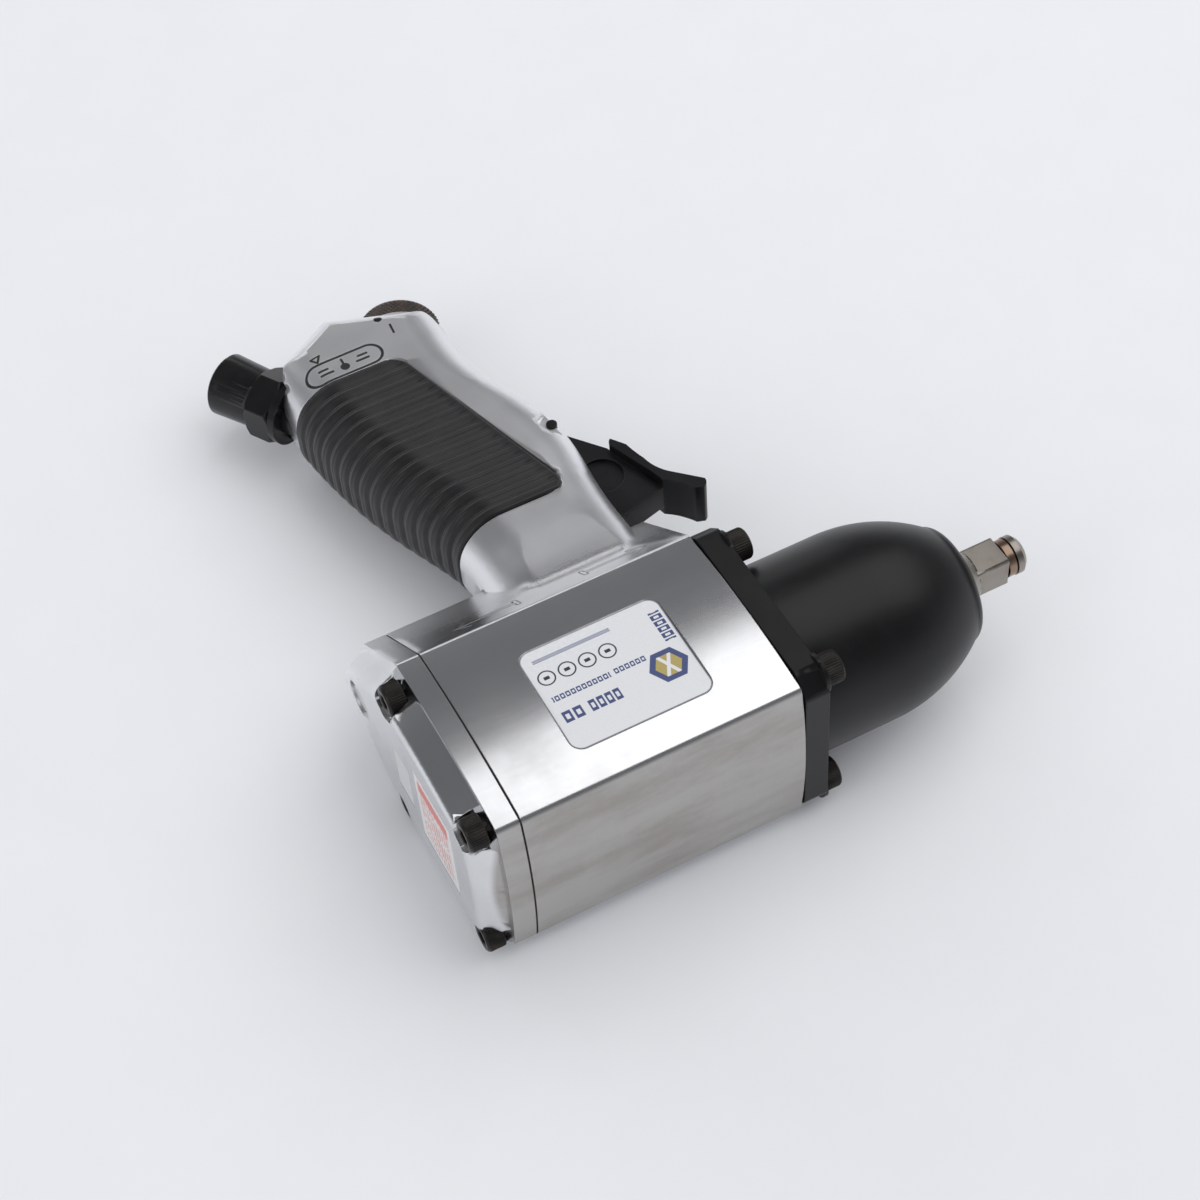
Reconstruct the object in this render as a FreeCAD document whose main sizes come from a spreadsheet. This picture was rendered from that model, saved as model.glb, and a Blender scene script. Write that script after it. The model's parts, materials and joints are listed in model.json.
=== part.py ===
import FreeCAD, Part
import math
import os
import Sketcher

# Pistol-grip air impact wrench with a 3/8 in square drive, lying on its right side.
# +X runs along the spindle towards the drive, +Y towards the bottom of the handle, +Z to the tool's left side.
# The origin is on the spindle axis at the shoulder where a socket seats. The features are drawn from the
# joint between the motor housing and the rear cap (x = 0 there) and every sub-part is moved back by seat_station.

os.makedirs("parts", exist_ok=True)
doc = FreeCAD.newDocument("impact_wrench")
V = FreeCAD.Vector
AXIS_X, AXIS_Y, AXIS_Z = V(1, 0, 0), V(0, 1, 0), V(0, 0, 1)

DIMENSIONS = {
    # general
    "running_gap": 0.05,
    "seat_gap": 0.03,
    "free_gap": 0.3,
    # motor housing barrel
    "barrel_length": 74.8,
    "barrel_top": 26.8,
    "barrel_step": 29.2,
    "barrel_half_width": 25.4,
    "side_crown": 2.0,
    "top_crown": 2.2,
    "corner_radius": 2.4,
    "belly_depth": 57.0,
    "belly_radius": 6.0,
    "bore_radius": 20.5,
    "gasket_thickness": 0.5,
    # screws
    "screw_offset": 22.3,
    "screw_radius": 2.4,
    "screw_head_radius": 4.25,
    "screw_head_height": 5.0,
    "screw_key": 4.0,
    "screw_grip": 16.0,
    # rear cap
    "cap_plate": 6.0,
    "cap_height": 13.4,
    "cap_taper": 4.5,
    "cap_round": 2.5,
    "cap_spigot_wall": 4.0,
    "label_depth": 0.4,
    # motor
    "plate_thickness": 8.0,
    "plate_web": 1.5,
    "rear_plate_station": 3.0,
    "liner_length": 46.0,
    "liner_radius": 17.3,
    "liner_offset": 1.6,
    "rotor_radius": 15.4,
    "rotor_side_gap": 0.2,
    "blade_count": 6,
    "blade_height": 7.5,
    "blade_thickness": 2.0,
    "rear_bearing_radius": 12.0,
    "front_bearing_radius": 14.0,
    "rear_shaft_radius": 5.0,
    "front_shaft_radius": 6.0,
    "bearing_race": 2.2,
    "dowel_radius": 1.2,
    # hammer case and mechanism
    "flange_thickness": 6.7,
    "flange_top": 28.0,
    "flange_bottom": 31.5,
    "flange_half_width": 26.6,
    "flange_chamfer": 5.0,
    "case_radius": 25.7,
    "case_bore_radius": 22.9,
    "case_nose_radius": 16.5,
    "ogive_reach": 31.2,
    "bore_reach": 37.7,
    "nose_reach": 58.4,
    "face_reach": 61.2,
    "seat_reach": 66.2,
    "case_spigot_wall": 4.0,
    "cage_radius": 22.2,
    "cage_reach": 1.2,
    "cage_rear_plate": 6.0,
    "cage_front_plate": 5.0,
    "cage_web_inner": 20.2,
    "hammer_length": 11.2,
    "hammer_radius": 18.9,
    "hammer_bore_radius": 11.4,
    "hammer_pin_radius": 3.0,
    "hammer_pin_offset": 17.0,
    "hammer_relief": 1.6,
    "dog_half_width": 3.0,
    "dog_height": 2.7,
    # anvil
    "anvil_core_radius": 7.5,
    "anvil_lug_radius": 10.2,
    "anvil_collar_radius": 11.5,
    "anvil_shaft_radius": 9.0,
    "bushing_wall": 3.0,
    "square_size": 9.5,
    "square_corner": 0.8,
    "square_length": 9.0,
    "drive_groove": 3.0,
    "drive_groove_radius": 3.0,
    "drive_end": 3.0,
    "drive_end_radius": 5.3,
    "retainer_radius": 5.1,
    "retainer_wall": 1.0,
    # handle
    "root_drop": 1.8,
    "handle_length": 135.0,
    "handle_corner_share": 0.86,
    "grip_top": 67.0,
    "grip_foot": 32.5,
    "grip_front_top": 60.5,
    "grip_front_bottom": 41.0,
    "grip_corner": 5.0,
    "grip_depth": 2.8,
    "grip_proud": 0.6,
    # trigger and throttle
    "pivot_station": 66.9,
    "pivot_depth": 92.0,
    "pivot_pin_radius": 1.5,
    "pivot_pin_length": 25.0,
    "pivot_boss_radius": 4.5,
    "pivot_spot_radius": 3.9,
    "trigger_web": 8.0,
    "trigger_width": 14.0,
    "slot_top": 58.6,
    "slot_bottom": 98.0,
    "slot_station": 55.0,
    "throttle_depth": 74.0,
    "throttle_bore_radius": 6.6,
    "throttle_wall": 1.6,
    "throttle_rod_radius": 1.8,
    "throttle_rod_station": 62.0,
    "throttle_seat_length": 9.0,
    "throttle_head_length": 4.0,
    "throttle_head_radius": 4.6,
    "throttle_head_station": 43.0,
    "spring_wire": 0.7,
    "spring_radius": 3.6,
    "spring_turns": 6,
    # reverse valve
    "reverse_depth": 43.0,
    "reverse_radius": 5.0,
    "reverse_bush_wall": 2.0,
    "reverse_end_wall": 3.8,
    "reverse_neck": 1.5,
    "reverse_button_radius": 4.4,
    "reverse_travel": 8.0,
    # air regulator
    "knob_station": 50.4,
    "knob_rise": 7.2,
    "knob_angle": 69.0,
    "knob_radius": 11.9,
    "knob_height": 9.0,
    "knob_sunk": 2.6,
    "knob_boss_wall": 1.5,
    "foot_round": 10.0,
    "foot_crown": 1.2,
    "foot_heel": 6.5,
    "stem_radius": 5.5,
    "stem_length": 16.0,
    "stem_groove": 3.2,
    "stem_groove_depth": 2.2,
    "roll_pin_radius": 1.2,
    "roll_pin_length": 25.0,
    "ring_section": 0.75,
    # air inlet
    "inlet_station": -1.4,
    "inlet_rise": 2.0,
    "inlet_angle": 121.0,
    "inlet_radius": 9.05,
    "inlet_waist": 8.5,
    "inlet_length": 24.0,
    "inlet_hex": 18.4,
    "inlet_hex_length": 8.0,
    "inlet_washer": 2.4,
    "inlet_washer_radius": 9.6,
    "inlet_thread_radius": 5.65,
    "inlet_thread_length": 14.0,
    "inlet_spigot_radius": 6.2,
    "inlet_spigot_length": 7.0,
    "passage_radius": 4.2,
    "passage_angle": 106.0,
    # nameplate
    "nameplate_start": 19.0,
    "nameplate_length": 38.5,
    "nameplate_top": 17.0,
    "nameplate_bottom": 15.5,
    "nameplate_corner": 3.5,
    "nameplate_thickness": 0.4,
}

# Handle sections: name, rear edge, front edge and half thickness. They are evenly spaced along the handle.
HANDLE_SECTIONS = [
    ("root", 29.0, 71.5, 22.0),
    ("throat", 28.5, 70.6, 17.6),
    ("web", 27.2, 70.4, 16.3),
    ("finger", 24.2, 70.8, 16.1),
    ("knuckle", 18.2, 71.2, 16.2),
    ("palm", 13.2, 67.6, 16.3),
    ("waist", 9.8, 61.8, 16.3),
    ("heel", 7.8, 59.4, 16.2),
    ("foot", 7.0, 58.8, 16.0),
    ("sole", 7.0, 58.6, 15.6),
]


class Size:
    """A length with the spreadsheet expression that gives it, so that sums of lengths stay bound."""

    def __init__(self, value, text):
        self.value = value
        self.text = text

    def __add__(self, other):
        other = as_size(other)
        return Size(self.value + other.value, f"({self.text} + {other.text})")

    def __sub__(self, other):
        other = as_size(other)
        return Size(self.value - other.value, f"({self.text} - {other.text})")

    def __mul__(self, other):
        other = as_size(other)
        return Size(self.value * other.value, f"({self.text} * {other.text})")

    def __truediv__(self, other):
        other = as_size(other)
        return Size(self.value / other.value, f"({self.text} / {other.text})")

    def __rsub__(self, other):
        return as_size(other) - self

    def __neg__(self):
        return as_size(0) - self

    __radd__ = __add__
    __rmul__ = __mul__


def as_size(number):
    return number if isinstance(number, Size) else Size(float(number), f"({float(number):.6f})")


def root(size):
    return Size(math.sqrt(size.value), f"sqrt({size.text})")


def cosine(angle):
    return Size(math.cos(math.radians(angle.value)), f"cos({angle.text} * 1 deg)")


def sine(angle):
    return Size(math.sin(math.radians(angle.value)), f"sin({angle.text} * 1 deg)")


class Sheet:
    """The driving dimensions as a spreadsheet; each one reads as an attribute that is a Size."""

    def __init__(self, table):
        sheet = doc.addObject("Spreadsheet::Sheet", "sizes")
        for row, (name, value) in enumerate(table.items(), start=1):
            sheet.set(f"A{row}", name)
            sheet.set(f"B{row}", f"{value:g}")
            sheet.setAlias(f"B{row}", name)
            setattr(self, name, Size(float(value), f"sizes.{name}"))
        doc.recompute()


def handle_cells():
    cells = {}
    for name, rear, front, half in HANDLE_SECTIONS:
        cells[f"{name}_rear"] = rear
        cells[f"{name}_front"] = front
        cells[f"{name}_half"] = half
    return cells


d = Sheet({**DIMENSIONS, **handle_cells()})
nodes = []

# Stations that follow the barrel's front face
d.cage_station = d.barrel_length + d.cage_reach
d.case_ogive_station = d.barrel_length + d.ogive_reach
d.case_bore_end = d.barrel_length + d.bore_reach
d.case_nose_station = d.barrel_length + d.nose_reach
d.case_nose_face = d.barrel_length + d.face_reach
d.seat_station = d.barrel_length + d.seat_reach

# Depths that follow the handle's end
d.handle_root = d.barrel_step + d.root_drop
d.handle_end = d.handle_root + d.handle_length
d.grip_bottom = d.handle_end - d.grip_foot
d.knob_depth = d.handle_end - d.knob_rise
d.inlet_depth = d.handle_end - d.inlet_rise


def handle_rear(depth):
    """Rear edge of the handle at a depth, on the straight line between the two nearest sections."""
    last = len(HANDLE_SECTIONS) - 1
    share = (depth - d.handle_root) / d.handle_length * last
    i = min(max(int(share.value), 0), last - 1)
    above, below = (getattr(d, f"{HANDLE_SECTIONS[k][0]}_rear") for k in (i, i + 1))
    return above + (below - above) * (share - i)


# Blind end of the throttle bore, a wall in front of the rubber sleeve's recess
d.throttle_end = handle_rear(d.throttle_depth) + d.grip_depth + d.throttle_wall


# Small tools


def bind(thing, path, size):
    thing.setExpression(path, as_size(size).text)


def move(thing, x=0, y=0, z=0, turn=None):
    """Puts a thing at x, y, z, turned about Z where an angle is given."""
    rotation = FreeCAD.Rotation(AXIS_Z, turn.value) if turn else thing.Placement.Rotation
    x, y, z = as_size(x), as_size(y), as_size(z)
    thing.Placement = FreeCAD.Placement(V(x.value, y.value, z.value), rotation)
    for axis, size in (("x", x), ("y", y), ("z", z)):
        bind(thing, f"Placement.Base.{axis}", size)
    if turn:
        bind(thing, "Placement.Rotation.Angle", turn)
    return thing


def node(name, thing, x=0, y=0, z=0, turn=None):
    """Names a finished sub-part and moves it into the row's frame."""
    move(thing, x - d.seat_station, y, z, turn)
    thing.Label = name
    nodes.append(thing)
    return thing


def origin_plane(body, role):
    return next(f for f in body.Origin.OriginFeatures if f.Role == role)


def draw(body, name, plane, points, offset=0):
    """Sketches a closed outline. A point is (x, y) or (x, y, radius): with a radius, the stretch to the
    next point is an arc, counter-clockwise if the radius is positive."""
    sketch = body.newObject("Sketcher::SketchObject", name)
    sketch.AttachmentSupport = (origin_plane(body, plane), [""])
    sketch.MapMode = "FlatFace"
    offset = as_size(offset)
    sketch.AttachmentOffset = FreeCAD.Placement(V(0, 0, offset.value), FreeCAD.Rotation())
    bind(sketch, "AttachmentOffset.Base.z", offset)
    corners = [(as_size(p[0]), as_size(p[1]), as_size(p[2]) if len(p) > 2 else None) for p in points]
    ends = []
    for i, (x, y, radius) in enumerate(corners):
        nx, ny, _ = corners[(i + 1) % len(corners)]
        a, b = V(x.value, y.value, 0), V(nx.value, ny.value, 0)
        if radius is None:
            sketch.addGeometry(Part.LineSegment(a, b))
            ends.append((1, 2))
            continue
        chord = b - a
        r, half = abs(radius.value), chord.Length / 2
        side = 1 if radius.value > 0 else -1
        rise = math.sqrt(max(r * r - half * half, 0.0)) * side
        centre = (a + b) / 2 + V(-chord.y, chord.x, 0) / chord.Length * rise
        first, last = (a, b) if side > 0 else (b, a)
        start = math.atan2(first.y - centre.y, first.x - centre.x)
        stop = math.atan2(last.y - centre.y, last.x - centre.x)
        if stop < start:
            stop += 2 * math.pi
        sketch.addGeometry(Part.ArcOfCircle(Part.Circle(centre, AXIS_Z, r), start, stop))
        ends.append((1, 2) if side > 0 else (2, 1))
    count = len(corners)
    for i in range(count):
        following = (i + 1) % count
        sketch.addConstraint(Sketcher.Constraint("Coincident", i, ends[i][1], following, ends[following][0]))
    for i, (x, y, radius) in enumerate(corners):
        rules = [("DistanceX", (i, ends[i][0]), x), ("DistanceY", (i, ends[i][0]), y)]
        if radius is not None:
            rules.append(("Radius", (i,), radius if radius.value > 0 else -radius))
        for kind, where, size in rules:
            index = sketch.addConstraint(Sketcher.Constraint(kind, *where, size.value))
            bind(sketch, f"Constraints[{index}]", size)
    return sketch


def pad(body, name, sketch, length, reverse=False, middle=False):
    feature = body.newObject("PartDesign::Pad", name)
    feature.Profile = sketch
    feature.Length = as_size(length).value
    bind(feature, "Length", length)
    feature.Reversed = reverse
    feature.Midplane = middle
    return feature


def prism(name, plane, points, start, length, middle=False):
    """An outline pushed out of an origin plane from start, by length, along the plane's normal."""
    body = doc.addObject("PartDesign::Body", name)
    pad(body, f"{name}_pad", draw(body, f"{name}_outline", plane, points, start), length, middle=middle)
    return body


def turned(name, points):
    """A profile of (x, radius) points turned about the X axis."""
    body = doc.addObject("PartDesign::Body", name)
    feature = body.newObject("PartDesign::Revolution", f"{name}_turn")
    sketch = draw(body, f"{name}_profile", "XY_Plane", points)
    feature.Profile = sketch
    feature.ReferenceAxis = (sketch, ["H_Axis"])
    feature.Angle = 360
    body.Tip = feature
    return body


def ring(name, x, length, outer, inner):
    return turned(name, [(x, inner), (x + length, inner), (x + length, outer), (x, outer)])


def rod(name, radius, length, x=0, y=0, z=0, along="X"):
    thing = doc.addObject("Part::Cylinder", name)
    bind(thing, "Radius", radius)
    bind(thing, "Height", length)
    axis, angle = {"X": (AXIS_Y, 90), "Y": (AXIS_X, -90), "Z": (AXIS_Z, 0)}[along]
    thing.Placement = FreeCAD.Placement(V(), FreeCAD.Rotation(axis, angle))
    return move(thing, x, y, z)


def block(name, length, width, height, x=0, y=0, z=0):
    """A box with one corner at x, y, z."""
    thing = doc.addObject("Part::Box", name)
    bind(thing, "Length", length)
    bind(thing, "Width", width)
    bind(thing, "Height", height)
    return move(thing, x, y, z)


def fuse(name, *shapes):
    thing = doc.addObject("Part::MultiFuse", name)
    thing.Shapes = list(shapes)
    return thing


def cut(name, base, *tools):
    thing = doc.addObject("Part::Cut", name)
    thing.Base = base
    thing.Tool = tools[0] if len(tools) == 1 else fuse(f"{name}_tools", *tools)
    return thing


def common(name, first, second):
    thing = doc.addObject("Part::MultiCommon", name)
    thing.Shapes = [first, second]
    return thing


def round_edges(name, base, radius, choose):
    """Rounds the edges of a shape for which choose(edge) is true."""
    doc.recompute()
    thing = doc.addObject("Part::Fillet", name)
    thing.Base = base
    r = radius.value
    thing.Edges = [(i, r, r) for i, e in enumerate(base.Shape.Edges, start=1) if choose(e)]
    return thing


def four_corners(offset):
    return [(y, z) for y in (offset, -offset) for z in (offset, -offset)]


# Outlines that mating pieces share


def barrel_outline(inset=0):
    """Section of the barrel: crowned top and sides, and a V-shaped belly that ends in a round nose."""
    top, step = -(d.barrel_top - inset), d.barrel_step - inset * 0.4
    half, nose = d.barrel_half_width - inset, d.belly_radius
    centre = d.belly_depth - d.belly_radius - inset * 1.2
    reach, lift = centre - step, half
    span = reach * reach + lift * lift
    tangent = root(span - nose * nose)
    tx = step + tangent * (tangent * reach + nose * lift) / span
    tz = lift - tangent * (tangent * lift - nose * reach) / span
    chord = step - top
    side = chord * chord / (8 * d.side_crown) + d.side_crown / 2
    crown = lift * lift / (2 * d.top_crown) + d.top_crown / 2
    return [
        (top, -half, side),
        (step, -half),
        (tx, -tz, nose),
        (tx, tz),
        (step, half, side),
        (top, half, crown),
    ]


def barrel_side(y, depth):
    """Height of the crowned left face at y, depth below the surface."""
    chord = d.barrel_step + d.barrel_top
    radius = chord * chord / (8 * d.side_crown) + d.side_crown / 2
    middle = (d.barrel_step - d.barrel_top) / 2
    reach = radius - depth
    return d.barrel_half_width + d.side_crown - radius + root(reach * reach - (y - middle) * (y - middle))


def sharp_corners(edge):
    """True for the straight edges along X at the barrel's two top corners and its two step lines."""
    if not isinstance(edge.Curve, Part.Line) or abs(edge.Curve.Direction.x) < 0.99:
        return False
    return edge.CenterOfMass.y < d.barrel_step.value + 0.5 and abs(edge.CenterOfMass.z) > 15


def oval_points(rear, front, half):
    """Rounded rectangle in the XZ plane."""
    r = half * d.handle_corner_share
    return [
        (rear, half - r, -1 * r),
        (rear + r, half),
        (front - r, half, -1 * r),
        (front, half - r),
        (front, r - half, -1 * r),
        (front - r, -half),
        (rear + r, -half, -1 * r),
        (rear, r - half),
    ]


def handle_loft(name, proud):
    """The handle as a loft through its sections, each one larger all round by proud."""
    body = doc.addObject("PartDesign::Body", name)
    loft = body.newObject("PartDesign::AdditiveLoft", f"{name}_loft")
    sketches = []
    last = len(HANDLE_SECTIONS) - 1
    for i, (section, *_) in enumerate(HANDLE_SECTIONS):
        rear, front, half = (getattr(d, f"{section}_{edge}") for edge in ("rear", "front", "half"))
        depth = d.handle_root + d.handle_length * (i / last)
        points = oval_points(rear - proud, front + proud, half + proud)
        sketches.append(draw(body, f"{name}_{section}", "XZ_Plane", points, -depth))
    loft.Profile = sketches[0]
    loft.Sections = sketches[1:]
    body.Tip = loft
    return body


def grip_zone(name, gap):
    """Side outline of the rubber sleeve, wide enough to cut through the handle."""
    outside, half = -20.0, 30.0
    top, bottom = d.grip_top + gap, d.grip_bottom - gap
    body = prism(
        name,
        "XY_Plane",
        [(outside, top), (d.grip_front_top - gap, top), (d.grip_front_bottom - gap, bottom), (outside, bottom)],
        -half,
        2 * half,
    )
    return round_edges(f"{name}_rounded", body, d.grip_corner, lambda e: is_along_z(e) and e.CenterOfMass.x > 0)


def is_along_z(edge):
    return isinstance(edge.Curve, Part.Line) and abs(edge.Curve.Direction.z) > 0.99


# Motor housing and rubber sleeve


def knob_boss_radius():
    return d.knob_radius + d.free_gap + d.knob_boss_wall


def handle_body():
    """Handle sections trimmed by the foot's side outline, with rounded rims at its toe and its heel."""
    rim = d.knob_sunk - d.knob_height
    face_x, face_y = along(d.knob_station, d.knob_depth, d.knob_angle, rim)
    across, down = sine(d.knob_angle) * knob_boss_radius(), cosine(d.knob_angle) * knob_boss_radius()
    seat_x, seat_y = along(d.inlet_station, d.inlet_depth, d.inlet_angle, -d.inlet_length)
    outside, ahead, half = 10.0, 90.0, 30.0
    hollow_arc, heel_arc = 16.0, 18.0
    sole_run, sole_fall = 9.0, 2.6
    trim = prism(
        "handle_trim",
        "XY_Plane",
        [
            (-outside, d.barrel_step),
            (ahead, d.barrel_step),
            (ahead, face_y - down),
            (face_x + across, face_y - down),
            (face_x - across, face_y + down, hollow_arc),
            (face_x - across - sole_run, face_y + down + sole_fall, heel_arc),
            (seat_x + 3, seat_y + 8),
            (seat_x - 3, seat_y - 1),
            (-outside, seat_y - 1),
        ],
        -half,
        2 * half,
    )
    body = common("handle_trimmed", handle_loft("handle_outer", 0), trim)
    toe = foot_rounding("toe_rounding", d.knob_station, d.knob_depth, d.knob_angle, rim + d.foot_crown)
    heel_reach = d.foot_heel - d.inlet_length
    heel = foot_rounding("heel_rounding", d.inlet_station, d.inlet_depth, d.inlet_angle, heel_reach)
    return common("handle_rounded", common("toe_rounded", body, toe), heel)


def foot_rounding(name, station, depth, angle, reach):
    """Slab across the foot whose end lies a reach out along a leaning axis, with both its long edges rounded."""
    half, r, back, length = d.palm_half + 0.2, d.foot_round, -300, 300
    slab = prism(
        name,
        "YZ_Plane",
        [(back, -half), (-r, -half, r), (0, r - half), (0, half - r, r), (-r, half), (back, half)],
        0,
        length,
        middle=True,
    )
    x, y = along(station, depth, angle, reach)
    return move(slab, x, y, 0, angle - 90)


def along(station, depth, angle, distance):
    """The point that lies a distance out along an axis leaning by angle."""
    return station + cosine(angle) * distance, depth + sine(angle) * distance


def motor_housing():
    barrel = prism("barrel", "YZ_Plane", barrel_outline(), 0, d.barrel_length)
    barrel = round_edges("barrel_rounded", barrel, d.corner_radius, sharp_corners)
    rim, boss_end, boss_radius = d.knob_sunk - d.knob_height, -26, knob_boss_radius()
    inward, down = 1.1, 1.5
    boss = turned(
        "knob_boss",
        [(boss_end, 0), (rim, 0), (rim, boss_radius - inward), (rim - down, boss_radius), (boss_end, boss_radius)],
    )
    knob_boss = move(boss, d.knob_station, d.knob_depth, 0, d.knob_angle)
    casting = fuse("casting", barrel, handle_body(), knob_boss)
    tools = [
        rod("motor_bore", d.bore_radius, d.barrel_length + 2, -1),
        cut("grip_recess", grip_zone("recess_zone", 0), handle_loft("handle_core", -d.grip_depth)),
        nameplate_strip("nameplate_recess", -d.nameplate_thickness, 3, 0),
    ]
    for i, (y, z) in enumerate(four_corners(d.screw_offset)):
        hole = d.screw_radius + d.running_gap
        tools.append(rod(f"screw_hole_{i}", hole, d.barrel_length + 2, -1, y, z))
    tools += throttle_cuts() + reverse_cuts() + regulator_cuts() + inlet_cuts()
    node("motor_housing", cut("motor_housing", casting, *tools))


def throttle_cuts():
    web = d.trigger_web / 2 + d.free_gap
    spot = 12.0
    cuts = [
        rod("throttle_bore", d.throttle_bore_radius, 60, d.throttle_end, d.throttle_depth),
        block("trigger_slot", 40, d.slot_bottom - d.slot_top, 2 * web, d.slot_station, d.slot_top, -web),
        rod("pivot_hole", d.pivot_pin_radius + d.seat_gap, 60, d.pivot_station, d.pivot_depth, -30, "Z"),
        rod("valve_passage", d.passage_radius, d.throttle_depth - d.reverse_depth, 50, d.reverse_depth, 0, "Y"),
    ]
    for side, z in (("left", spot), ("right", -spot - 20)):
        cuts.append(rod(f"pivot_spot_{side}", d.pivot_spot_radius, 20, d.pivot_station, d.pivot_depth, z, "Z"))
    return cuts


def reverse_cuts():
    bush = d.reverse_radius + d.running_gap + d.reverse_bush_wall + d.seat_gap
    return [
        rod("reverse_bore", bush, d.barrel_length - d.reverse_end_wall + 1, -1, d.reverse_depth),
        rod("reverse_window", d.reverse_radius + d.free_gap, d.barrel_length, 10, d.reverse_depth),
    ]


def regulator_cuts():
    """Counterbore for the knob, bore for its stem and the cross hole for the roll pin."""
    bottom = -d.knob_height - d.free_gap
    stem = d.stem_radius + d.running_gap
    bore = turned(
        "regulator_bore",
        [
            (bottom - d.stem_length - 6, 0),
            (10, 0),
            (10, d.knob_radius + d.free_gap),
            (bottom, d.knob_radius + d.free_gap),
            (bottom, stem),
            (bottom - d.stem_length - 2, stem),
            (bottom - d.stem_length - 6, 2),
        ],
    )
    px, py = roll_pin_place()
    return [
        move(bore, d.knob_station, d.knob_depth, 0, d.knob_angle),
        rod("roll_pin_hole", d.roll_pin_radius + d.seat_gap, 60, px, py, -30, "Z"),
    ]


def roll_pin_place():
    """The pin crosses the stem's groove off centre, so that it holds the stem without stopping its turn."""
    back = -d.knob_height - d.free_gap - d.stem_groove / 2 - 1.0
    aside = d.stem_radius - d.stem_groove_depth + d.roll_pin_radius + d.free_gap
    x, y = along(d.knob_station, d.knob_depth, d.knob_angle, back)
    return x - sine(d.knob_angle) * aside, y + cosine(d.knob_angle) * aside


def inlet_cuts():
    """Spot face for the inlet's washer, bore for its spigot and the drilled passages to the throttle."""
    seat = -d.inlet_length
    spot = d.inlet_hex / math.sqrt(3) + d.free_gap
    bore = turned(
        "inlet_bore",
        [
            (seat - 24, 0),
            (seat + 14, 0),
            (seat + 14, spot),
            (seat, spot),
            (seat, d.inlet_spigot_radius + d.seat_gap),
            (seat - d.inlet_spigot_length - 1, d.inlet_spigot_radius + d.seat_gap),
            (seat - d.inlet_spigot_length - 1, d.passage_radius),
            (seat - 24, d.passage_radius),
        ],
    )
    x, y = along(d.inlet_station, d.inlet_depth, d.inlet_angle, seat - 22)
    far = d.throttle_depth - y
    supply = turned("supply_passage", [(far, 0), (1, 0), (1, d.passage_radius), (far, d.passage_radius)])
    return [
        move(bore, d.inlet_station, d.inlet_depth, 0, d.inlet_angle),
        move(supply, x, y, 0, d.passage_angle),
    ]


def rubber_grip():
    sleeve = common("sleeve_solid", grip_zone("sleeve_zone", 0.1), handle_loft("sleeve_outer", d.grip_proud))
    core = handle_loft("sleeve_core", -d.grip_depth + 0.1)
    node("rubber_grip", cut("rubber_grip", sleeve, core))


# Covers, gaskets, labels and screws


def nameplate_strip(name, low, high, gap):
    """Curved strip that follows the left face between two heights above it, with rounded corners."""
    top, bottom = -d.nameplate_top + gap, d.nameplate_bottom - gap
    points = [
        (top, barrel_side(top, -high)),
        (top, barrel_side(top, -low)),
        (bottom, barrel_side(bottom, -low)),
        (bottom, barrel_side(bottom, -high)),
    ]
    strip = prism(name, "YZ_Plane", points, d.nameplate_start + gap, d.nameplate_length - 2 * gap)
    return round_edges(f"{name}_rounded", strip, d.nameplate_corner, is_along_z)


def nameplate():
    node("nameplate", nameplate_strip("nameplate_plate", 0.05 - d.nameplate_thickness, 0.02, 0.1))


def drill_pattern(name, base, x, length, radius):
    """Four corner holes along X."""
    corners = enumerate(four_corners(d.screw_offset))
    return cut(name, base, *[rod(f"{name}_hole_{i}", radius, length, x, y, z) for i, (y, z) in corners])


def rear_gasket():
    sheet = prism("rear_gasket_sheet", "YZ_Plane", barrel_outline(0.3), -d.gasket_thickness, d.gasket_thickness)
    opening = rod("rear_gasket_bore", d.bore_radius, 4, -2)
    valve = rod("rear_gasket_valve", d.reverse_radius + d.free_gap, 4, -2, d.reverse_depth)
    holes = drill_pattern("rear_gasket_holes", sheet, -2, 4, d.screw_radius + d.running_gap)
    node("rear_gasket", cut("rear_gasket", holes, opening, valve))


def rear_cap():
    """Plate with a raised, tapered middle, pockets for the screw heads and a spigot that holds the rear plate."""
    seam = -d.gasket_thickness
    plate = prism("cap_plate_solid", "YZ_Plane", barrel_outline(), seam - d.cap_plate, d.cap_plate)
    plate = round_edges("cap_plate_rounded", plate, d.corner_radius, sharp_corners)
    tower = doc.addObject("PartDesign::Body", "cap_tower")
    loft = tower.newObject("PartDesign::AdditiveLoft", "cap_tower_loft")
    base = draw(tower, "cap_tower_base", "YZ_Plane", barrel_outline(0.8), seam - d.cap_plate)
    face = draw(tower, "cap_tower_face", "YZ_Plane", barrel_outline(d.cap_taper), seam - d.cap_height)
    loft.Profile = base
    loft.Sections = [face]
    tower.Tip = loft
    rear = (seam - d.cap_height).value
    tower = round_edges(
        "cap_tower_rounded",
        tower,
        d.cap_round,
        lambda e: abs(e.BoundBox.XMin - rear) < 0.01 and e.BoundBox.XLength < 0.01,
    )
    reach = d.rear_plate_station - seam
    spigot = ring("cap_spigot", seam, reach, d.bore_radius - d.running_gap, d.bore_radius - d.cap_spigot_wall)
    cap = fuse("cap_solid", plate, tower, spigot)
    pocket = d.screw_head_radius + 0.9
    pockets = [
        rod(f"cap_pocket_{i}", pocket, 30, cap_screw_seat() - 30, y, z)
        for i, (y, z) in enumerate(four_corners(d.screw_offset))
    ]
    labels = [block(f"cap_label_{i}", 10, *size, seam - d.cap_height + d.label_depth - 10, *place)
              for i, (place, size) in enumerate(rear_label_places(0))]
    valve = rod("cap_valve_hole", d.reverse_radius + d.free_gap, 30, -20, d.reverse_depth)
    body = cut("cap_cut", cap, valve, *pockets, *labels)
    node("rear_cap", drill_pattern("rear_cap", body, -20, 30, d.screw_radius + d.running_gap))


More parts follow.
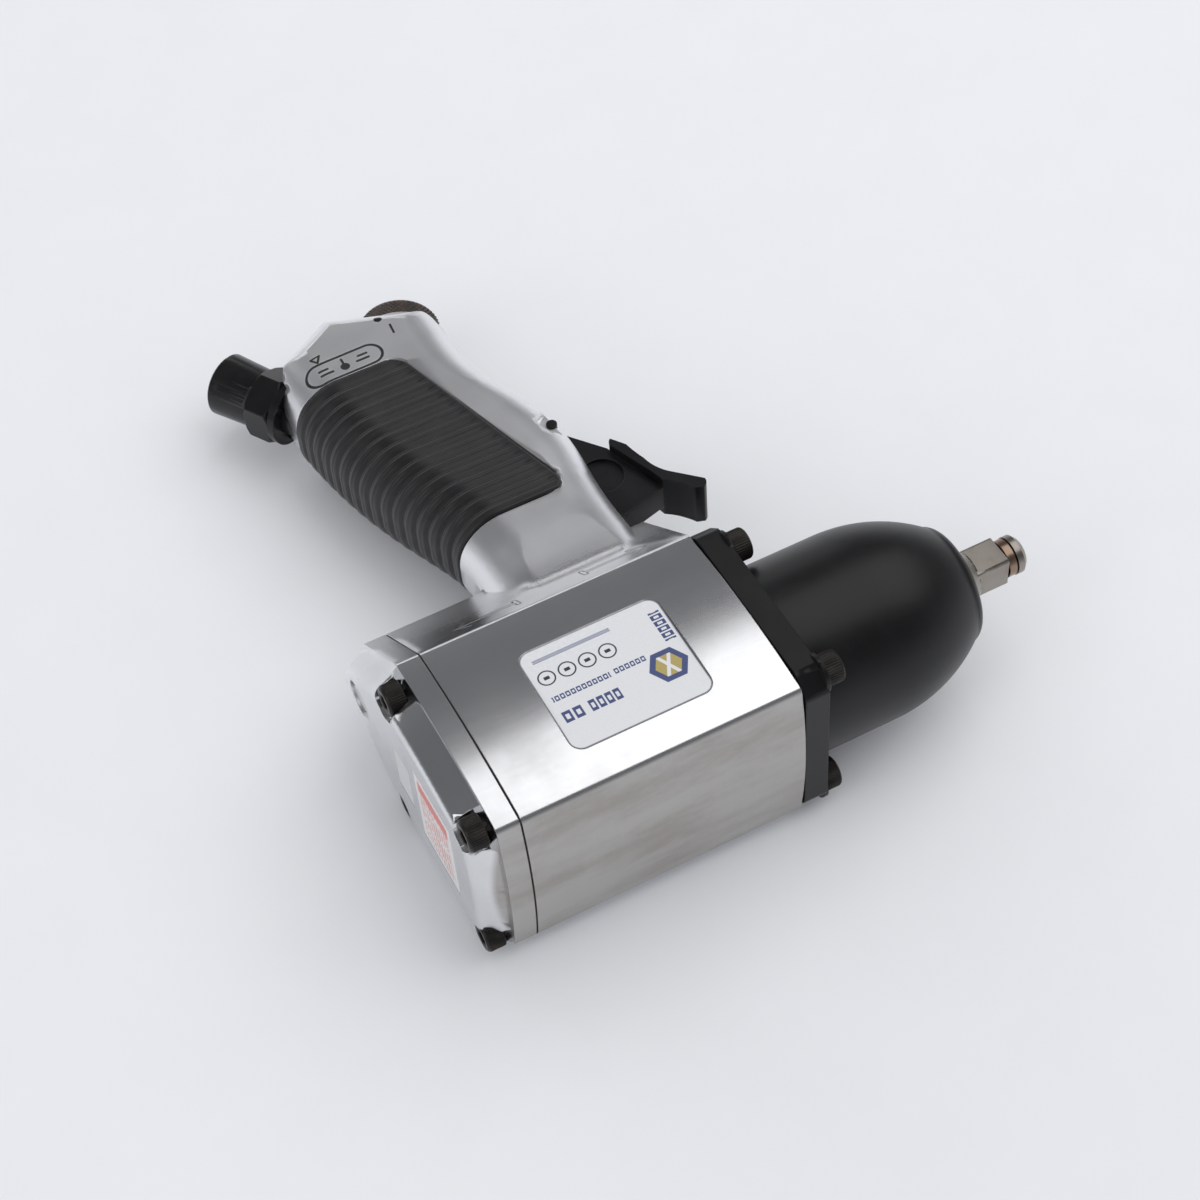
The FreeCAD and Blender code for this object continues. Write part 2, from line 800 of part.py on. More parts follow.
def cap_screw_seat():
    """Station of the face under the rear screws' heads."""
    return -d.gasket_thickness - d.cap_height + d.screw_head_height + 0.7


def rear_label_places(gap):
    """Corner (y, z) and size (y, z) of the two label recesses in the cap's rear face."""
    return [
        ((-14.0 + gap, -14.0 + gap), (21.0 - 2 * gap, 28.0 - 2 * gap)),
        ((11.0 + gap, -8.0 + gap), (9.0 - 2 * gap, 16.0 - 2 * gap)),
    ]


def rear_labels():
    face = -d.gasket_thickness - d.cap_height
    plates = [block(f"rear_label_{i}", d.label_depth - 0.05, *size, face + 0.05, *place)
              for i, (place, size) in enumerate(rear_label_places(0.15))]
    node("rear_labels", fuse("rear_labels", *plates))


def socket_screws(name, seat, facing):
    """Four cap screws with hexagon sockets; facing is -1 where the heads look backwards."""
    screws = []
    for i, (y, z) in enumerate(four_corners(d.screw_offset)):
        height, key = d.screw_head_height, d.screw_key
        head = rod(f"{name}_head_{i}", d.screw_head_radius, height, seat if facing > 0 else seat - height, y, z)
        shank_at = seat - d.screw_grip if facing > 0 else seat
        shank = rod(f"{name}_shank_{i}", d.screw_radius, d.screw_grip, shank_at, y, z)
        recess = doc.addObject("Part::Prism", f"{name}_key_{i}")
        recess.Polygon = 6
        bind(recess, "Circumradius", key / math.sqrt(3))
        bind(recess, "Height", height)
        recess.Placement = FreeCAD.Placement(V(), FreeCAD.Rotation(AXIS_Y, 90))
        move(recess, seat + height / 2 if facing > 0 else seat - 1.5 * height, y, z)
        screws.append(cut(f"{name}_{i}", fuse(f"{name}_solid_{i}", head, shank), recess))
    node(name, fuse(name, *screws))


# Air motor


def motor_stations():
    rear = d.rear_plate_station + d.plate_thickness
    return rear, rear + d.liner_length


def end_plates_and_bearings():
    liner_start, liner_end = motor_stations()
    outer = d.bore_radius - d.running_gap
    depth = d.plate_thickness - d.plate_web
    plates = [
        ("rear", d.rear_plate_station, d.rear_plate_station, liner_start, d.rear_bearing_radius, d.rear_shaft_radius),
        ("front", liner_end, liner_end + d.plate_web, liner_end, d.front_bearing_radius, d.front_shaft_radius),
    ]
    for name, start, pocket, web, bearing, shaft in plates:
        disc = rod(f"{name}_plate_disc", outer, d.plate_thickness, start)
        seat = rod(f"{name}_plate_seat", bearing + d.seat_gap, depth, pocket)
        hole = rod(f"{name}_plate_hole", shaft + d.free_gap, 40, start - 10)
        pin = rod(f"{name}_plate_pin", d.dowel_radius + d.seat_gap, 12, web - 4, 0, outer - 2.5)
        node(f"{name}_end_plate", cut(f"{name}_end_plate", disc, seat, hole, pin))
        ball_bearing(f"{name}_bearing", pocket + 0.05, depth - 0.1, bearing, shaft + 0.02)


def ball_bearing(name, x, width, outer, inner):
    """Outer race, inner race and balls, which share shallow grooves."""
    mid, race = (outer + inner) / 2, d.bearing_race
    ball = (outer - inner) / 2 - race + 0.6
    races = fuse(
        f"{name}_races",
        ring(f"{name}_outer", x, width, outer, outer - race),
        ring(f"{name}_inner", x, width, inner + race, inner),
    )
    groove = doc.addObject("Part::Torus", f"{name}_groove")
    groove.Placement = FreeCAD.Placement(V(), FreeCAD.Rotation(AXIS_Y, 90))
    bind(groove, "Radius1", mid)
    bind(groove, "Radius2", ball + 0.05)
    move(groove, x + width / 2)
    balls = []
    count = 8
    for i in range(count):
        angle = 2 * math.pi * i / count
        sphere = doc.addObject("Part::Sphere", f"{name}_ball_{i}")
        bind(sphere, "Radius", ball)
        balls.append(move(sphere, x + width / 2, mid * math.cos(angle), mid * math.sin(angle)))
    node(name, fuse(name, cut(f"{name}_grooved", races, groove), *balls))


def cylinder_liner():
    start, _ = motor_stations()
    outer = rod("liner_outside", d.bore_radius - d.running_gap, d.liner_length, start)
    bore = rod("liner_bore", d.liner_radius, d.liner_length + 2, start - 1, -d.liner_offset)
    pin = rod("liner_pin_hole", d.dowel_radius + d.seat_gap, 12, start - 4, 0, d.bore_radius - d.running_gap - 2.5)
    ports = [rod(f"liner_port_{i}", 1.8, 12, start + 9 + 7 * i, d.liner_radius - d.liner_offset - 4, 0, "Y")
             for i in range(5)]
    node("cylinder_liner", cut("cylinder_liner", outer, bore, pin, *ports))
    node("liner_dowel", rod("liner_dowel", d.dowel_radius, 9), start - 3.9, 0, d.bore_radius - d.running_gap - 2.5)


def rotor_and_blades():
    start, end = motor_stations()
    body_start, body_length = start + d.rotor_side_gap, d.liner_length - 2 * d.rotor_side_gap
    drive_end = d.cage_station + d.cage_rear_plate
    shape = fuse(
        "rotor_solid",
        rod("rotor_drum", d.rotor_radius, body_length, body_start),
        rod("rotor_rear_shaft", d.rear_shaft_radius, start + 2 - d.rear_plate_station, d.rear_plate_station),
        rod("rotor_front_shaft", d.front_shaft_radius, d.cage_station - end, end - 2),
        spline("rotor_spline", d.cage_station - 2, drive_end - d.cage_station + 2, d.front_shaft_radius - 0.6),
    )
    slots, blades = [], []
    count = int(d.blade_count.value)
    for i in range(count):
        for name, gap, group in (("slot", d.running_gap, slots), ("blade", 0, blades)):
            flat = as_size(d.blade_thickness + 2 * gap)
            low = d.rotor_radius - d.blade_height - gap * 4
            longer, taller, ahead = (2, 4, -1) if name == "slot" else (-0.2, -0.4, 0.1)
            slab = block(
                f"{name}_slab_{i}",
                body_length + longer,
                flat,
                d.blade_height + taller,
                body_start + ahead,
                -1 * flat / 2,
                low,
            )
            group.append(turn_about_x(f"{name}_{i}", slab, 360 * i / count))
    node("rotor", cut("rotor", shape, *slots))
    node("rotor_blades", fuse("rotor_blades", *blades))


def turn_about_x(name, thing, angle):
    """A copy of a thing, turned about the spindle axis."""
    turned_copy = doc.addObject("Part::Compound", name)
    turned_copy.Links = [thing]
    turned_copy.Placement = FreeCAD.Placement(V(), FreeCAD.Rotation(AXIS_X, angle))
    return turned_copy


def spline(name, x, length, radius):
    """Shaft with six square teeth."""
    core = rod(f"{name}_core", radius - 0.9, length, x)
    teeth = []
    for i in range(6):
        tooth = block(f"{name}_slab_{i}", length, 2.0, 2.4, x, -1, radius - 2.4)
        teeth.append(turn_about_x(f"{name}_tooth_{i}", tooth, 60 * i))
    return fuse(name, core, *teeth)


# Hammer mechanism


def hammer_stations():
    """Start of the rear hammer, start of the front hammer and inner face of the cage's front plate."""
    inner = d.cage_station + d.cage_rear_plate
    gap = 0.4
    rear = inner + gap
    front = rear + d.hammer_length + gap
    return rear, front, front + d.hammer_length + gap


def hammer_cage():
    _, _, front = hammer_stations()
    length = front - d.cage_station + d.cage_front_plate
    drum = rod("cage_drum", d.cage_radius, length, d.cage_station)
    inside = d.cage_station + d.cage_rear_plate
    room = rod("cage_room", d.cage_web_inner, front - inside, inside)
    windows = [block(f"cage_window_{i}", front - inside, 30, 24, inside, y, -12) for i, y in enumerate((5, -35))]
    drive = spline("cage_spline_hole", d.cage_station - 1, d.cage_rear_plate + 2, d.front_shaft_radius - 0.6 + 0.08)
    journal = rod("cage_journal", d.anvil_collar_radius + d.running_gap, 20, front - 1)
    pins = [rod(f"cage_pin_hole_{i}", d.hammer_pin_radius + d.seat_gap, length + 2, d.cage_station - 1,
                side * d.hammer_pin_offset) for i, side in enumerate((1, -1))]
    node("hammer_cage", cut("hammer_cage", drum, room, *windows, drive, journal, *pins))
    bars = [rod(f"hammer_pin_{i}", d.hammer_pin_radius, length - 0.4, d.cage_station + 0.2,
                side * d.hammer_pin_offset) for i, side in enumerate((1, -1))]
    node("hammer_pins", fuse("hammer_pins", *bars))


def hammer(name, start, side):
    """Ring that rocks on one pin, clears the other and carries a dog inside. side is the pivot pin's side."""
    blank = ring(f"{name}_ring", start, d.hammer_length, d.hammer_radius, d.hammer_bore_radius)
    dog = block(f"{name}_dog", d.hammer_length, 2 * d.dog_half_width, d.dog_height + 1.5, start, -d.dog_half_width,
                side * (d.hammer_bore_radius - d.dog_height / 2 + 0.75) - (d.dog_height + 1.5) / 2)
    pivot = rod(f"{name}_pivot", d.hammer_pin_radius + d.running_gap, 40, start - 5, side * d.hammer_pin_offset)
    relief = rod(f"{name}_relief", d.hammer_pin_radius + d.hammer_relief, 40, start - 5, -side * d.hammer_pin_offset)
    node(name, cut(name, fuse(f"{name}_solid", blank, dog), pivot, relief))


def anvil():
    rear, front, plate = hammer_stations()
    start = rear + 0.6
    collar_end = plate + d.cage_front_plate
    square_at = d.seat_station
    neck = d.case_nose_face + 1
    end = square_at + d.square_length
    shaft = turned(
        "anvil_shaft",
        [
            (start, 0),
            (end + d.drive_groove + d.drive_end, 0),
            (end + d.drive_groove + d.drive_end, d.drive_end_radius - 1.2),
            (end + d.drive_groove + d.drive_end - 1.2, d.drive_end_radius),
            (end + d.drive_groove, d.drive_end_radius),
            (end + d.drive_groove, d.drive_groove_radius),
            (square_at - 2, d.drive_groove_radius),
            (square_at, d.square_size / 2 + 1.3),
            (neck, d.anvil_shaft_radius - 0.3),
            (neck - 0.5, d.anvil_shaft_radius),
            (collar_end, d.anvil_shaft_radius),
            (collar_end, d.anvil_collar_radius),
            (plate + 0.3, d.anvil_collar_radius),
            (plate + 0.3, d.anvil_core_radius),
            (start, d.anvil_core_radius),
        ],
    )
    half = d.square_size / 2
    square = block("anvil_square", d.square_length + 3, d.square_size, d.square_size, square_at - 3, -half, -half)
    square = round_edges("anvil_square_rounded", square, d.square_corner, is_along_x)
    lug = d.anvil_lug_radius
    lugs = [
        block("anvil_rear_lug", d.hammer_length - 1.6, 6, lug, rear + 0.8, -3, 0),
        block("anvil_front_lug", d.hammer_length - 1.6, 6, lug, front + 0.8, -3, -lug),
    ]
    node("anvil", fuse("anvil", shaft, square, *lugs))


def is_along_x(edge):
    return isinstance(edge.Curve, Part.Line) and abs(edge.Curve.Direction.x) > 0.99


def socket_retainer():
    """Split spring ring over a soft ring in the groove behind the drive's end."""
    middle = d.seat_station + d.square_length + d.drive_groove / 2
    width = d.drive_groove - 0.8
    band = ring("retainer_band", middle - width / 2, width, d.retainer_radius, d.retainer_radius - d.retainer_wall)
    split = block("retainer_split", 6, 8, 1.2, middle - 3, 0, -0.6)
    node("socket_retainer_ring", cut("socket_retainer_ring", band, split))
    inner = d.retainer_radius - d.retainer_wall - d.running_gap
    soft_ring("retainer_o_ring", middle, d.drive_groove_radius + d.running_gap, inner)


def soft_ring(name, at, inner, outer, **place):
    """A ring of round section between two radii, about the X axis."""
    torus = doc.addObject("Part::Torus", f"{name}_torus")
    torus.Placement = FreeCAD.Placement(V(), FreeCAD.Rotation(AXIS_Y, 90))
    bind(torus, "Radius1", (inner + outer) / 2)
    bind(torus, "Radius2", (outer - inner) / 2)
    move(torus, at)
    holder = doc.addObject("Part::Compound", name)
    holder.Links = [torus]
    node(name, holder, **place)


# Hammer case


def hammer_case():
    back = d.barrel_length + d.gasket_thickness
    face = back + d.flange_thickness
    chamfer = d.flange_chamfer
    low, high, half = d.flange_bottom, -d.flange_top, d.flange_half_width
    flange = prism(
        "case_flange",
        "YZ_Plane",
        [
            (high + chamfer, -half),
            (low - chamfer, -half),
            (low, chamfer - half),
            (low, half - chamfer),
            (low - chamfer, half),
            (high + chamfer, half),
            (high, half - chamfer),
            (high, chamfer - half),
        ],
        back,
        d.flange_thickness,
    )
    flange = round_edges("case_flange_rounded", flange, d.corner_radius, is_along_x)
    ogive, nose = d.case_ogive_station, d.case_nose_station
    fall, run = d.case_radius - d.case_nose_radius, nose - ogive
    ogive_radius = (fall * fall + run * run) / (2 * fall)
    bell = turned(
        "case_bell",
        [
            (face - 3, 0),
            (d.case_nose_face, 0),
            (d.case_nose_face, d.case_nose_radius - 3.2, 3.6),
            (nose, d.case_nose_radius, ogive_radius),
            (ogive, d.case_radius),
            (face - 3, d.case_radius),
        ],
    )
    _, liner_end = motor_stations()
    spigot_at = liner_end + d.plate_thickness
    spigot = rod("case_spigot", d.bore_radius - d.running_gap, back - spigot_at + 1, spigot_at)
    bushing = d.anvil_shaft_radius + d.running_gap + d.bushing_wall
    cavity = turned(
        "case_cavity",
        [
            (back + 0.3, 0),
            (d.case_nose_face + 2, 0),
            (d.case_nose_face + 2, bushing + d.seat_gap),
            (d.case_bore_end + 2.5, bushing + d.seat_gap),
            (d.case_bore_end, d.case_bore_radius - 4),
            (d.case_bore_end, d.case_bore_radius),
            (back + 0.3, d.case_bore_radius),
        ],
    )
    over = 10.0
    throat_length = back - spigot_at + over + 2
    throat = rod("case_throat", d.bore_radius - d.case_spigot_wall, throat_length, spigot_at - over)
    pads = [rod(f"case_pad_{i}", d.screw_head_radius + 1, 1.2, face - 0.6, y, z)
            for i, (y, z) in enumerate(four_corners(d.screw_offset))]
    shell = fuse("case_solid", flange, bell, spigot, *pads)
    body = cut("case_cut", shell, cavity, throat)
    hole = d.screw_radius + d.running_gap
    clear = [rod(f"case_head_room_{i}", d.screw_head_radius + 0.4, 8, face + 0.6, y, z)
             for i, (y, z) in enumerate(four_corners(d.screw_offset))]
    node("hammer_case", drill_pattern("hammer_case", cut("case_clear", body, *clear), back - 2, 14, hole))
    length = d.case_nose_face - d.case_bore_end - 3
    node("anvil_bushing", ring("anvil_bushing", d.case_bore_end + 2.5, length, bushing,
                               d.anvil_shaft_radius + d.running_gap))
    return face + 0.6


def front_gasket():
    at, thick = d.barrel_length, d.gasket_thickness
    low, high, half = d.flange_bottom - 3, -d.flange_top + 2, d.flange_half_width - 2
    sheet = prism("front_gasket_sheet", "YZ_Plane", [(high, -half), (low, -half), (low, half), (high, half)], at, thick)
    opening = rod("front_gasket_bore", d.bore_radius, 4, at - 2)
    holes = drill_pattern("front_gasket_holes", sheet, at - 2, 4, d.screw_radius + d.running_gap)
    node("front_gasket", cut("front_gasket", holes, opening))


# Trigger, throttle and reverse valve


def trigger():
    """Web that pivots in the handle's slot, with a wide curved finger pad in front of it."""
    px, py = d.pivot_station, d.pivot_depth
    web = prism(
        "trigger_web_solid",
        "XY_Plane",
        [
            (px - 2.4, py - 30.5),
            (px + 5, py - 32),
            (px + 18.5, py - 28.5),
            (px + 15.5, py - 20),
            (px + 12, py - 8.5),
            (px + 4.0, py + 2.0, d.pivot_boss_radius),
            (px - 4.3, py + 1.4),
            (px - 4.6, py - 22),
        ],
        0,
        d.trigger_web,
        middle=True,
    )
    finger = prism(
        "trigger_pad_solid",
        "XY_Plane",
        [
            (px + 12.2, py - 10.5),
            (px + 15.6, py - 20, -40),
            (px + 18.4, py - 28.5, -20),
            (px + 24.6, py - 35.4),
            (px + 26.8, py - 36.2, 2.5),
            (px + 28.4, py - 33.6),
            (px + 21.6, py - 26.8, -14),
            (px + 17.8, py - 19.0, -40),
            (px + 16.0, py - 12.2),
            (px + 13.2, py - 8.2, 2.0),
        ],
        0,
        d.trigger_width,
        middle=True,
    )
    side = d.trigger_web / 2 - 1.2
    hollows = [rod(f"trigger_hollow_{i}", 6.0, 3, px + 6.2, py - 16.5, z, "Z") for i, z in enumerate((side, -side - 3))]
    bore = rod("trigger_bore", d.pivot_pin_radius + d.running_gap, 40, px, py, -20, "Z")
    node("trigger", cut("trigger", fuse("trigger_solid", web, finger), bore, *hollows))
    pin = d.pivot_pin_length
    node("trigger_pivot_pin", rod("trigger_pivot_pin", d.pivot_pin_radius, pin, 0, 0, 0, "Z"), px, py, -pin / 2)


def throttle():
    """Push rod and valve head, the seat bushing they pass and the spring that closes them."""
    y, head = d.throttle_depth, d.throttle_head_station
    rod_start = head + d.throttle_head_length
    rod_length = d.throttle_rod_station - rod_start
    node("throttle_push_rod", turned("throttle_push_rod", [
        (rod_start, 0),
        (rod_start + rod_length, 0),
        (rod_start + rod_length, d.throttle_rod_radius - 0.9),
        (rod_start + rod_length - 0.9, d.throttle_rod_radius),
        (rod_start, d.throttle_rod_radius),
    ]), 0, y)
    node("throttle_valve", turned("throttle_valve", [
        (head, 0),
        (rod_start, 0),
        (rod_start, d.throttle_head_radius - 1.6),
        (rod_start - 1.6, d.throttle_head_radius),
        (head, d.throttle_head_radius),
    ]), 0, y)
    seat_at = rod_start + 0.1
    inner = d.throttle_rod_radius + 1.6
    node("throttle_seat", turned("throttle_seat", [
        (seat_at, inner),
        (seat_at + d.throttle_seat_length - 3, inner),
        (seat_at + d.throttle_seat_length - 3, d.throttle_rod_radius + d.running_gap),
        (seat_at + d.throttle_seat_length, d.throttle_rod_radius + d.running_gap),
        (seat_at + d.throttle_seat_length, d.throttle_bore_radius - d.seat_gap),
        (seat_at, d.throttle_bore_radius - d.seat_gap),
    ]), 0, y)
    throttle_spring()


def throttle_spring():
    """Coil of round wire from the end of the bore to the valve head, each half turn joined to the next."""
    wire, radius = d.spring_wire.value / 2, d.spring_radius.value
    start = d.throttle_end.value + wire + 0.1
    length = d.throttle_head_station.value - start - wire - 0.1
    halves = 2 * int(d.spring_turns.value)
    rise = length / halves
    helix = Part.makeHelix(2 * rise, rise, radius)
    section = Part.Wire(Part.makeCircle(wire, V(radius, 0, 0), V(0, math.pi * radius, rise)))
    half = Part.Wire(helix.Edges).makePipeShell([section], True, True)
    coils = []
    for i in range(halves):
        coils.append(half.copy())
        coils[i].rotate(V(), AXIS_Z, 180 * i)
        coils[i].translate(V(0, 0, i * rise))
    spring = doc.addObject("Part::Feature", "throttle_spring")
    spring.Shape = coils[0].multiFuse(coils[1:])
    spring.Label = "throttle_spring"
    spring.Placement = FreeCAD.Placement(
        V(start - d.seat_station.value, d.throttle_depth.value, 0), FreeCAD.Rotation(AXIS_Y, 90)
    )
    nodes.append(spring)


def reverse_valve():
    """Spool pushed from either end, in a bushing with ports, with a ball that clicks in its neck."""
    y, r = d.reverse_depth, d.reverse_radius
    bush_length = d.barrel_length - d.reverse_end_wall
    outer = r + d.running_gap + d.reverse_bush_wall
    sleeve = ring("reverse_sleeve", 0, bush_length, outer, r + d.running_gap)
    ports = [rod(f"reverse_port_{i}", 2.5, 30, x, -15, 0, "Y") for i, x in enumerate((20, 34, 50))]
    node("reverse_valve_bushing", cut("reverse_valve_bushing", sleeve, *ports), 0, y)
    rear_end = -d.gasket_thickness - d.cap_height + 0.5
    front_end = d.barrel_length + d.reverse_travel
    button, neck = d.reverse_button_radius, r - d.reverse_neck
    node("reverse_valve_spool", turned("reverse_valve_spool", [
        (rear_end, 0),
        (front_end, 0),
        (front_end, button - 0.8),
        (front_end - 0.8, button),
        (d.barrel_length - 5, button),
        (d.barrel_length - 6, r),
        (56, r),
        (56, neck),
        (42, neck),
        (42, r),
        (30, r),
        (30, neck),
        (18, neck),
        (18, r),
        (10, r),
        (9, button),
        (rear_end + 0.8, button),
        (rear_end, button - 0.8),
    ]), 0, y)


# Regulator and inlet


def regulator():
    place = {"x": d.knob_station, "y": d.knob_depth, "turn": d.knob_angle}
    bottom = -d.knob_height
    stem_end = bottom - d.stem_length
    floor = bottom - d.free_gap
    groove_front = floor - 1.0
    groove_back = groove_front - d.stem_groove
    groove_radius = d.stem_radius - d.stem_groove_depth
    seal_at = groove_back - 3.0
    seal_depth = d.stem_radius - 2 * d.ring_section
    knob = turned("regulator_knob_solid", [
        (stem_end, 0),
        (-1.0, 0),
        (-1.0, d.knob_radius - 3.0),
        (0, d.knob_radius - 2.4),
        (0, d.knob_radius - 0.8),
        (-0.8, d.knob_radius),
        (bottom + 0.8, d.knob_radius),
        (bottom, d.knob_radius - 0.8),
        (bottom, d.stem_radius),
        (groove_front, d.stem_radius),
        (groove_front, groove_radius),
        (groove_back, groove_radius),
        (groove_back, d.stem_radius),
        (seal_at + 0.9, d.stem_radius),
        (seal_at + 0.9, seal_depth),
        (seal_at - 0.9, seal_depth),
        (seal_at - 0.9, d.stem_radius),
        (stem_end + 0.6, d.stem_radius),
        (stem_end, d.stem_radius - 0.6),
    ])
    flow = block("regulator_flat", 5, 20, 20, stem_end - 1, -10, 1.0)
    node("regulator_knob", cut("regulator_knob", knob, flow), **place)
    soft_ring("regulator_o_ring", seal_at, seal_depth + 0.02, d.stem_radius, **place)
    px, py = roll_pin_place()
    length = d.roll_pin_length
    tube = rod("roll_pin_tube", d.roll_pin_radius, length, 0, 0, 0, "Z")
    hollow = rod("roll_pin_hollow", d.roll_pin_radius * 0.5, length + 2, 0, 0, -1, "Z")
    node("regulator_roll_pin", cut("regulator_roll_pin", tube, hollow), px, py, -length / 2)


def inlet():
    """Tapered bushing with a hexagon, its washer and the strainer inside it."""
    place = {"x": d.inlet_station, "y": d.inlet_depth, "turn": d.inlet_angle}
    seat = -d.inlet_length
    hex_start = seat + d.inlet_washer
    hex_end = hex_start + d.inlet_hex_length
    spigot_end = seat - d.inlet_spigot_length
    bore = d.inlet_spigot_radius - 2.2
    body = turned("inlet_turned", [
        (spigot_end, bore),
        (-d.inlet_thread_length, bore),
        (-d.inlet_thread_length, d.inlet_thread_radius),
        (-0.8, d.inlet_thread_radius),
        (0, d.inlet_thread_radius + 0.8),
        (0, d.inlet_radius - 0.7),
        (-0.7, d.inlet_radius),
        (hex_end, d.inlet_waist),
        (hex_start, d.inlet_waist),
        (hex_start, d.inlet_spigot_radius),
        (spigot_end, d.inlet_spigot_radius),
    ])
    nut = doc.addObject("Part::Prism", "inlet_nut")
    nut.Polygon = 6
    bind(nut, "Circumradius", d.inlet_hex / math.sqrt(3))
    bind(nut, "Height", d.inlet_hex_length)
    nut.Placement = FreeCAD.Placement(V(), FreeCAD.Rotation(AXIS_Y, 90))
    move(nut, hex_start)
    inside = rod("inlet_nut_bore", bore, 40, spigot_end)
    thread_room = rod("inlet_thread_room", d.inlet_thread_radius, d.inlet_thread_length, -d.inlet_thread_length)
    chamfer = turned("inlet_nut_chamfer", [
        (hex_start - 1, 0),
        (hex_end + 1, 0),
        (hex_end + 1, d.inlet_hex / 2 - 0.6),
        (hex_end - 0.9, d.inlet_hex / 2 + 1.3),
        (hex_start + 0.9, d.inlet_hex / 2 + 1.3),
        (hex_start - 1, d.inlet_hex / 2 - 0.6),
    ])
    nut = common("inlet_nut_rounded", nut, chamfer)
    node("inlet_bushing", cut("inlet_bushing", fuse("inlet_solid", body, nut), inside, thread_room), **place)
    washer = ring("inlet_washer", seat + 0.02, d.inlet_washer - 0.04, d.inlet_washer_radius,
                  d.inlet_spigot_radius + d.seat_gap)
    node("inlet_washer", washer, **place)
    screen_at = -d.inlet_thread_length - 9
    screen = turned("inlet_screen", [
        (screen_at, 0),
        (screen_at + 0.8, 0),
        (screen_at + 0.8, bore - 0.7),
        (screen_at + 7, bore - 0.7),
        (screen_at + 7, bore - 0.02),
        (screen_at, bore - 0.02),
    ])
    node("inlet_screen", screen, **place)


# Build, check and export


def check():
    doc.recompute()
    for thing in doc.Objects:
        if "Invalid" in thing.State or "Error" in thing.State:
            raise RuntimeError(f"{thing.Name} did not build: {thing.State}")
    for thing in nodes:
        if thing.Shape.isNull() or not thing.Shape.isValid() or not thing.Shape.Solids:
            raise RuntimeError(f"{thing.Label} has no sound shape")


def export():
    for thing in nodes:
        thing.Shape.exportStep(f"parts/{thing.Label}.step")
        box = thing.Shape.BoundBox
        print(f"{thing.Label:24s} solids {len(thing.Shape.Solids):2d}  volume {thing.Shape.Volume:10.1f}  "
              f"x {box.XMin:.1f}..{box.XMax:.1f}  y {box.YMin:.1f}..{box.YMax:.1f}  z {box.ZMin:.1f}..{box.ZMax:.1f}")


motor_housing()
rubber_grip()
nameplate()
rear_gasket()
rear_cap()
rear_labels()
socket_screws("rear_cap_screws", cap_screw_seat(), -1)
end_plates_and_bearings()
cylinder_liner()
rotor_and_blades()
hammer_cage()
hammer("rear_hammer", hammer_stations()[0], -1)
hammer("front_hammer", hammer_stations()[1], 1)
anvil()
socket_retainer()
front_screw_seat = hammer_case()
front_gasket()
socket_screws("hammer_case_screws", front_screw_seat, 1)
trigger()
throttle()
reverse_valve()
regulator()
inlet()
check()
export()
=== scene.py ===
import json
import math

import bmesh
import bpy
import numpy as np
from mathutils import Matrix, Vector

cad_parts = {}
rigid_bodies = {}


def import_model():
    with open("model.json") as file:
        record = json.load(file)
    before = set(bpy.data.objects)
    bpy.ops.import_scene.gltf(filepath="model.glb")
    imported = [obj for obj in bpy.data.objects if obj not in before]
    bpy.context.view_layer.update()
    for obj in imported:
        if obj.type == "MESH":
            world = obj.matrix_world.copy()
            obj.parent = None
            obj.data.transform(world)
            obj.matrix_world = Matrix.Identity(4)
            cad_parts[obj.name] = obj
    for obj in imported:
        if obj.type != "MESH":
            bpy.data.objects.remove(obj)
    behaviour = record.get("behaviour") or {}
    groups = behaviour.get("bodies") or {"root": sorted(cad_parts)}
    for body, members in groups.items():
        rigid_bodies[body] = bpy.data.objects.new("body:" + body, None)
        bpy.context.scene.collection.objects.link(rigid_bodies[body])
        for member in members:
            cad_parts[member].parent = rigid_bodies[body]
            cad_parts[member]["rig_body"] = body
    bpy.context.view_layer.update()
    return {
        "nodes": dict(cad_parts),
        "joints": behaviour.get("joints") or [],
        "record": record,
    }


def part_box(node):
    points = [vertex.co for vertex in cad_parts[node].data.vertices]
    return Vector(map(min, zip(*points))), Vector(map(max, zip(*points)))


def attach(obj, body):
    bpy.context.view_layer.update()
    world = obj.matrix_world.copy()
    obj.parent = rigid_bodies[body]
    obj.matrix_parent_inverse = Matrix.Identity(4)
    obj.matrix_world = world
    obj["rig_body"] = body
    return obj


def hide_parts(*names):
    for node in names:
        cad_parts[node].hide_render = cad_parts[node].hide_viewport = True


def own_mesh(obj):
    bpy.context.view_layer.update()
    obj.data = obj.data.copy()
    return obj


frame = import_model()

# Air impact wrench lying on its right side. Metres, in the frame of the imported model:
# +X out of the drive, +Y to the foot of the handle, +Z to the tool's left side.
mm = 0.001
nodes = frame["nodes"]
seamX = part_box("rear_gasket")[1].x  # joint between the rear cap and the motor housing


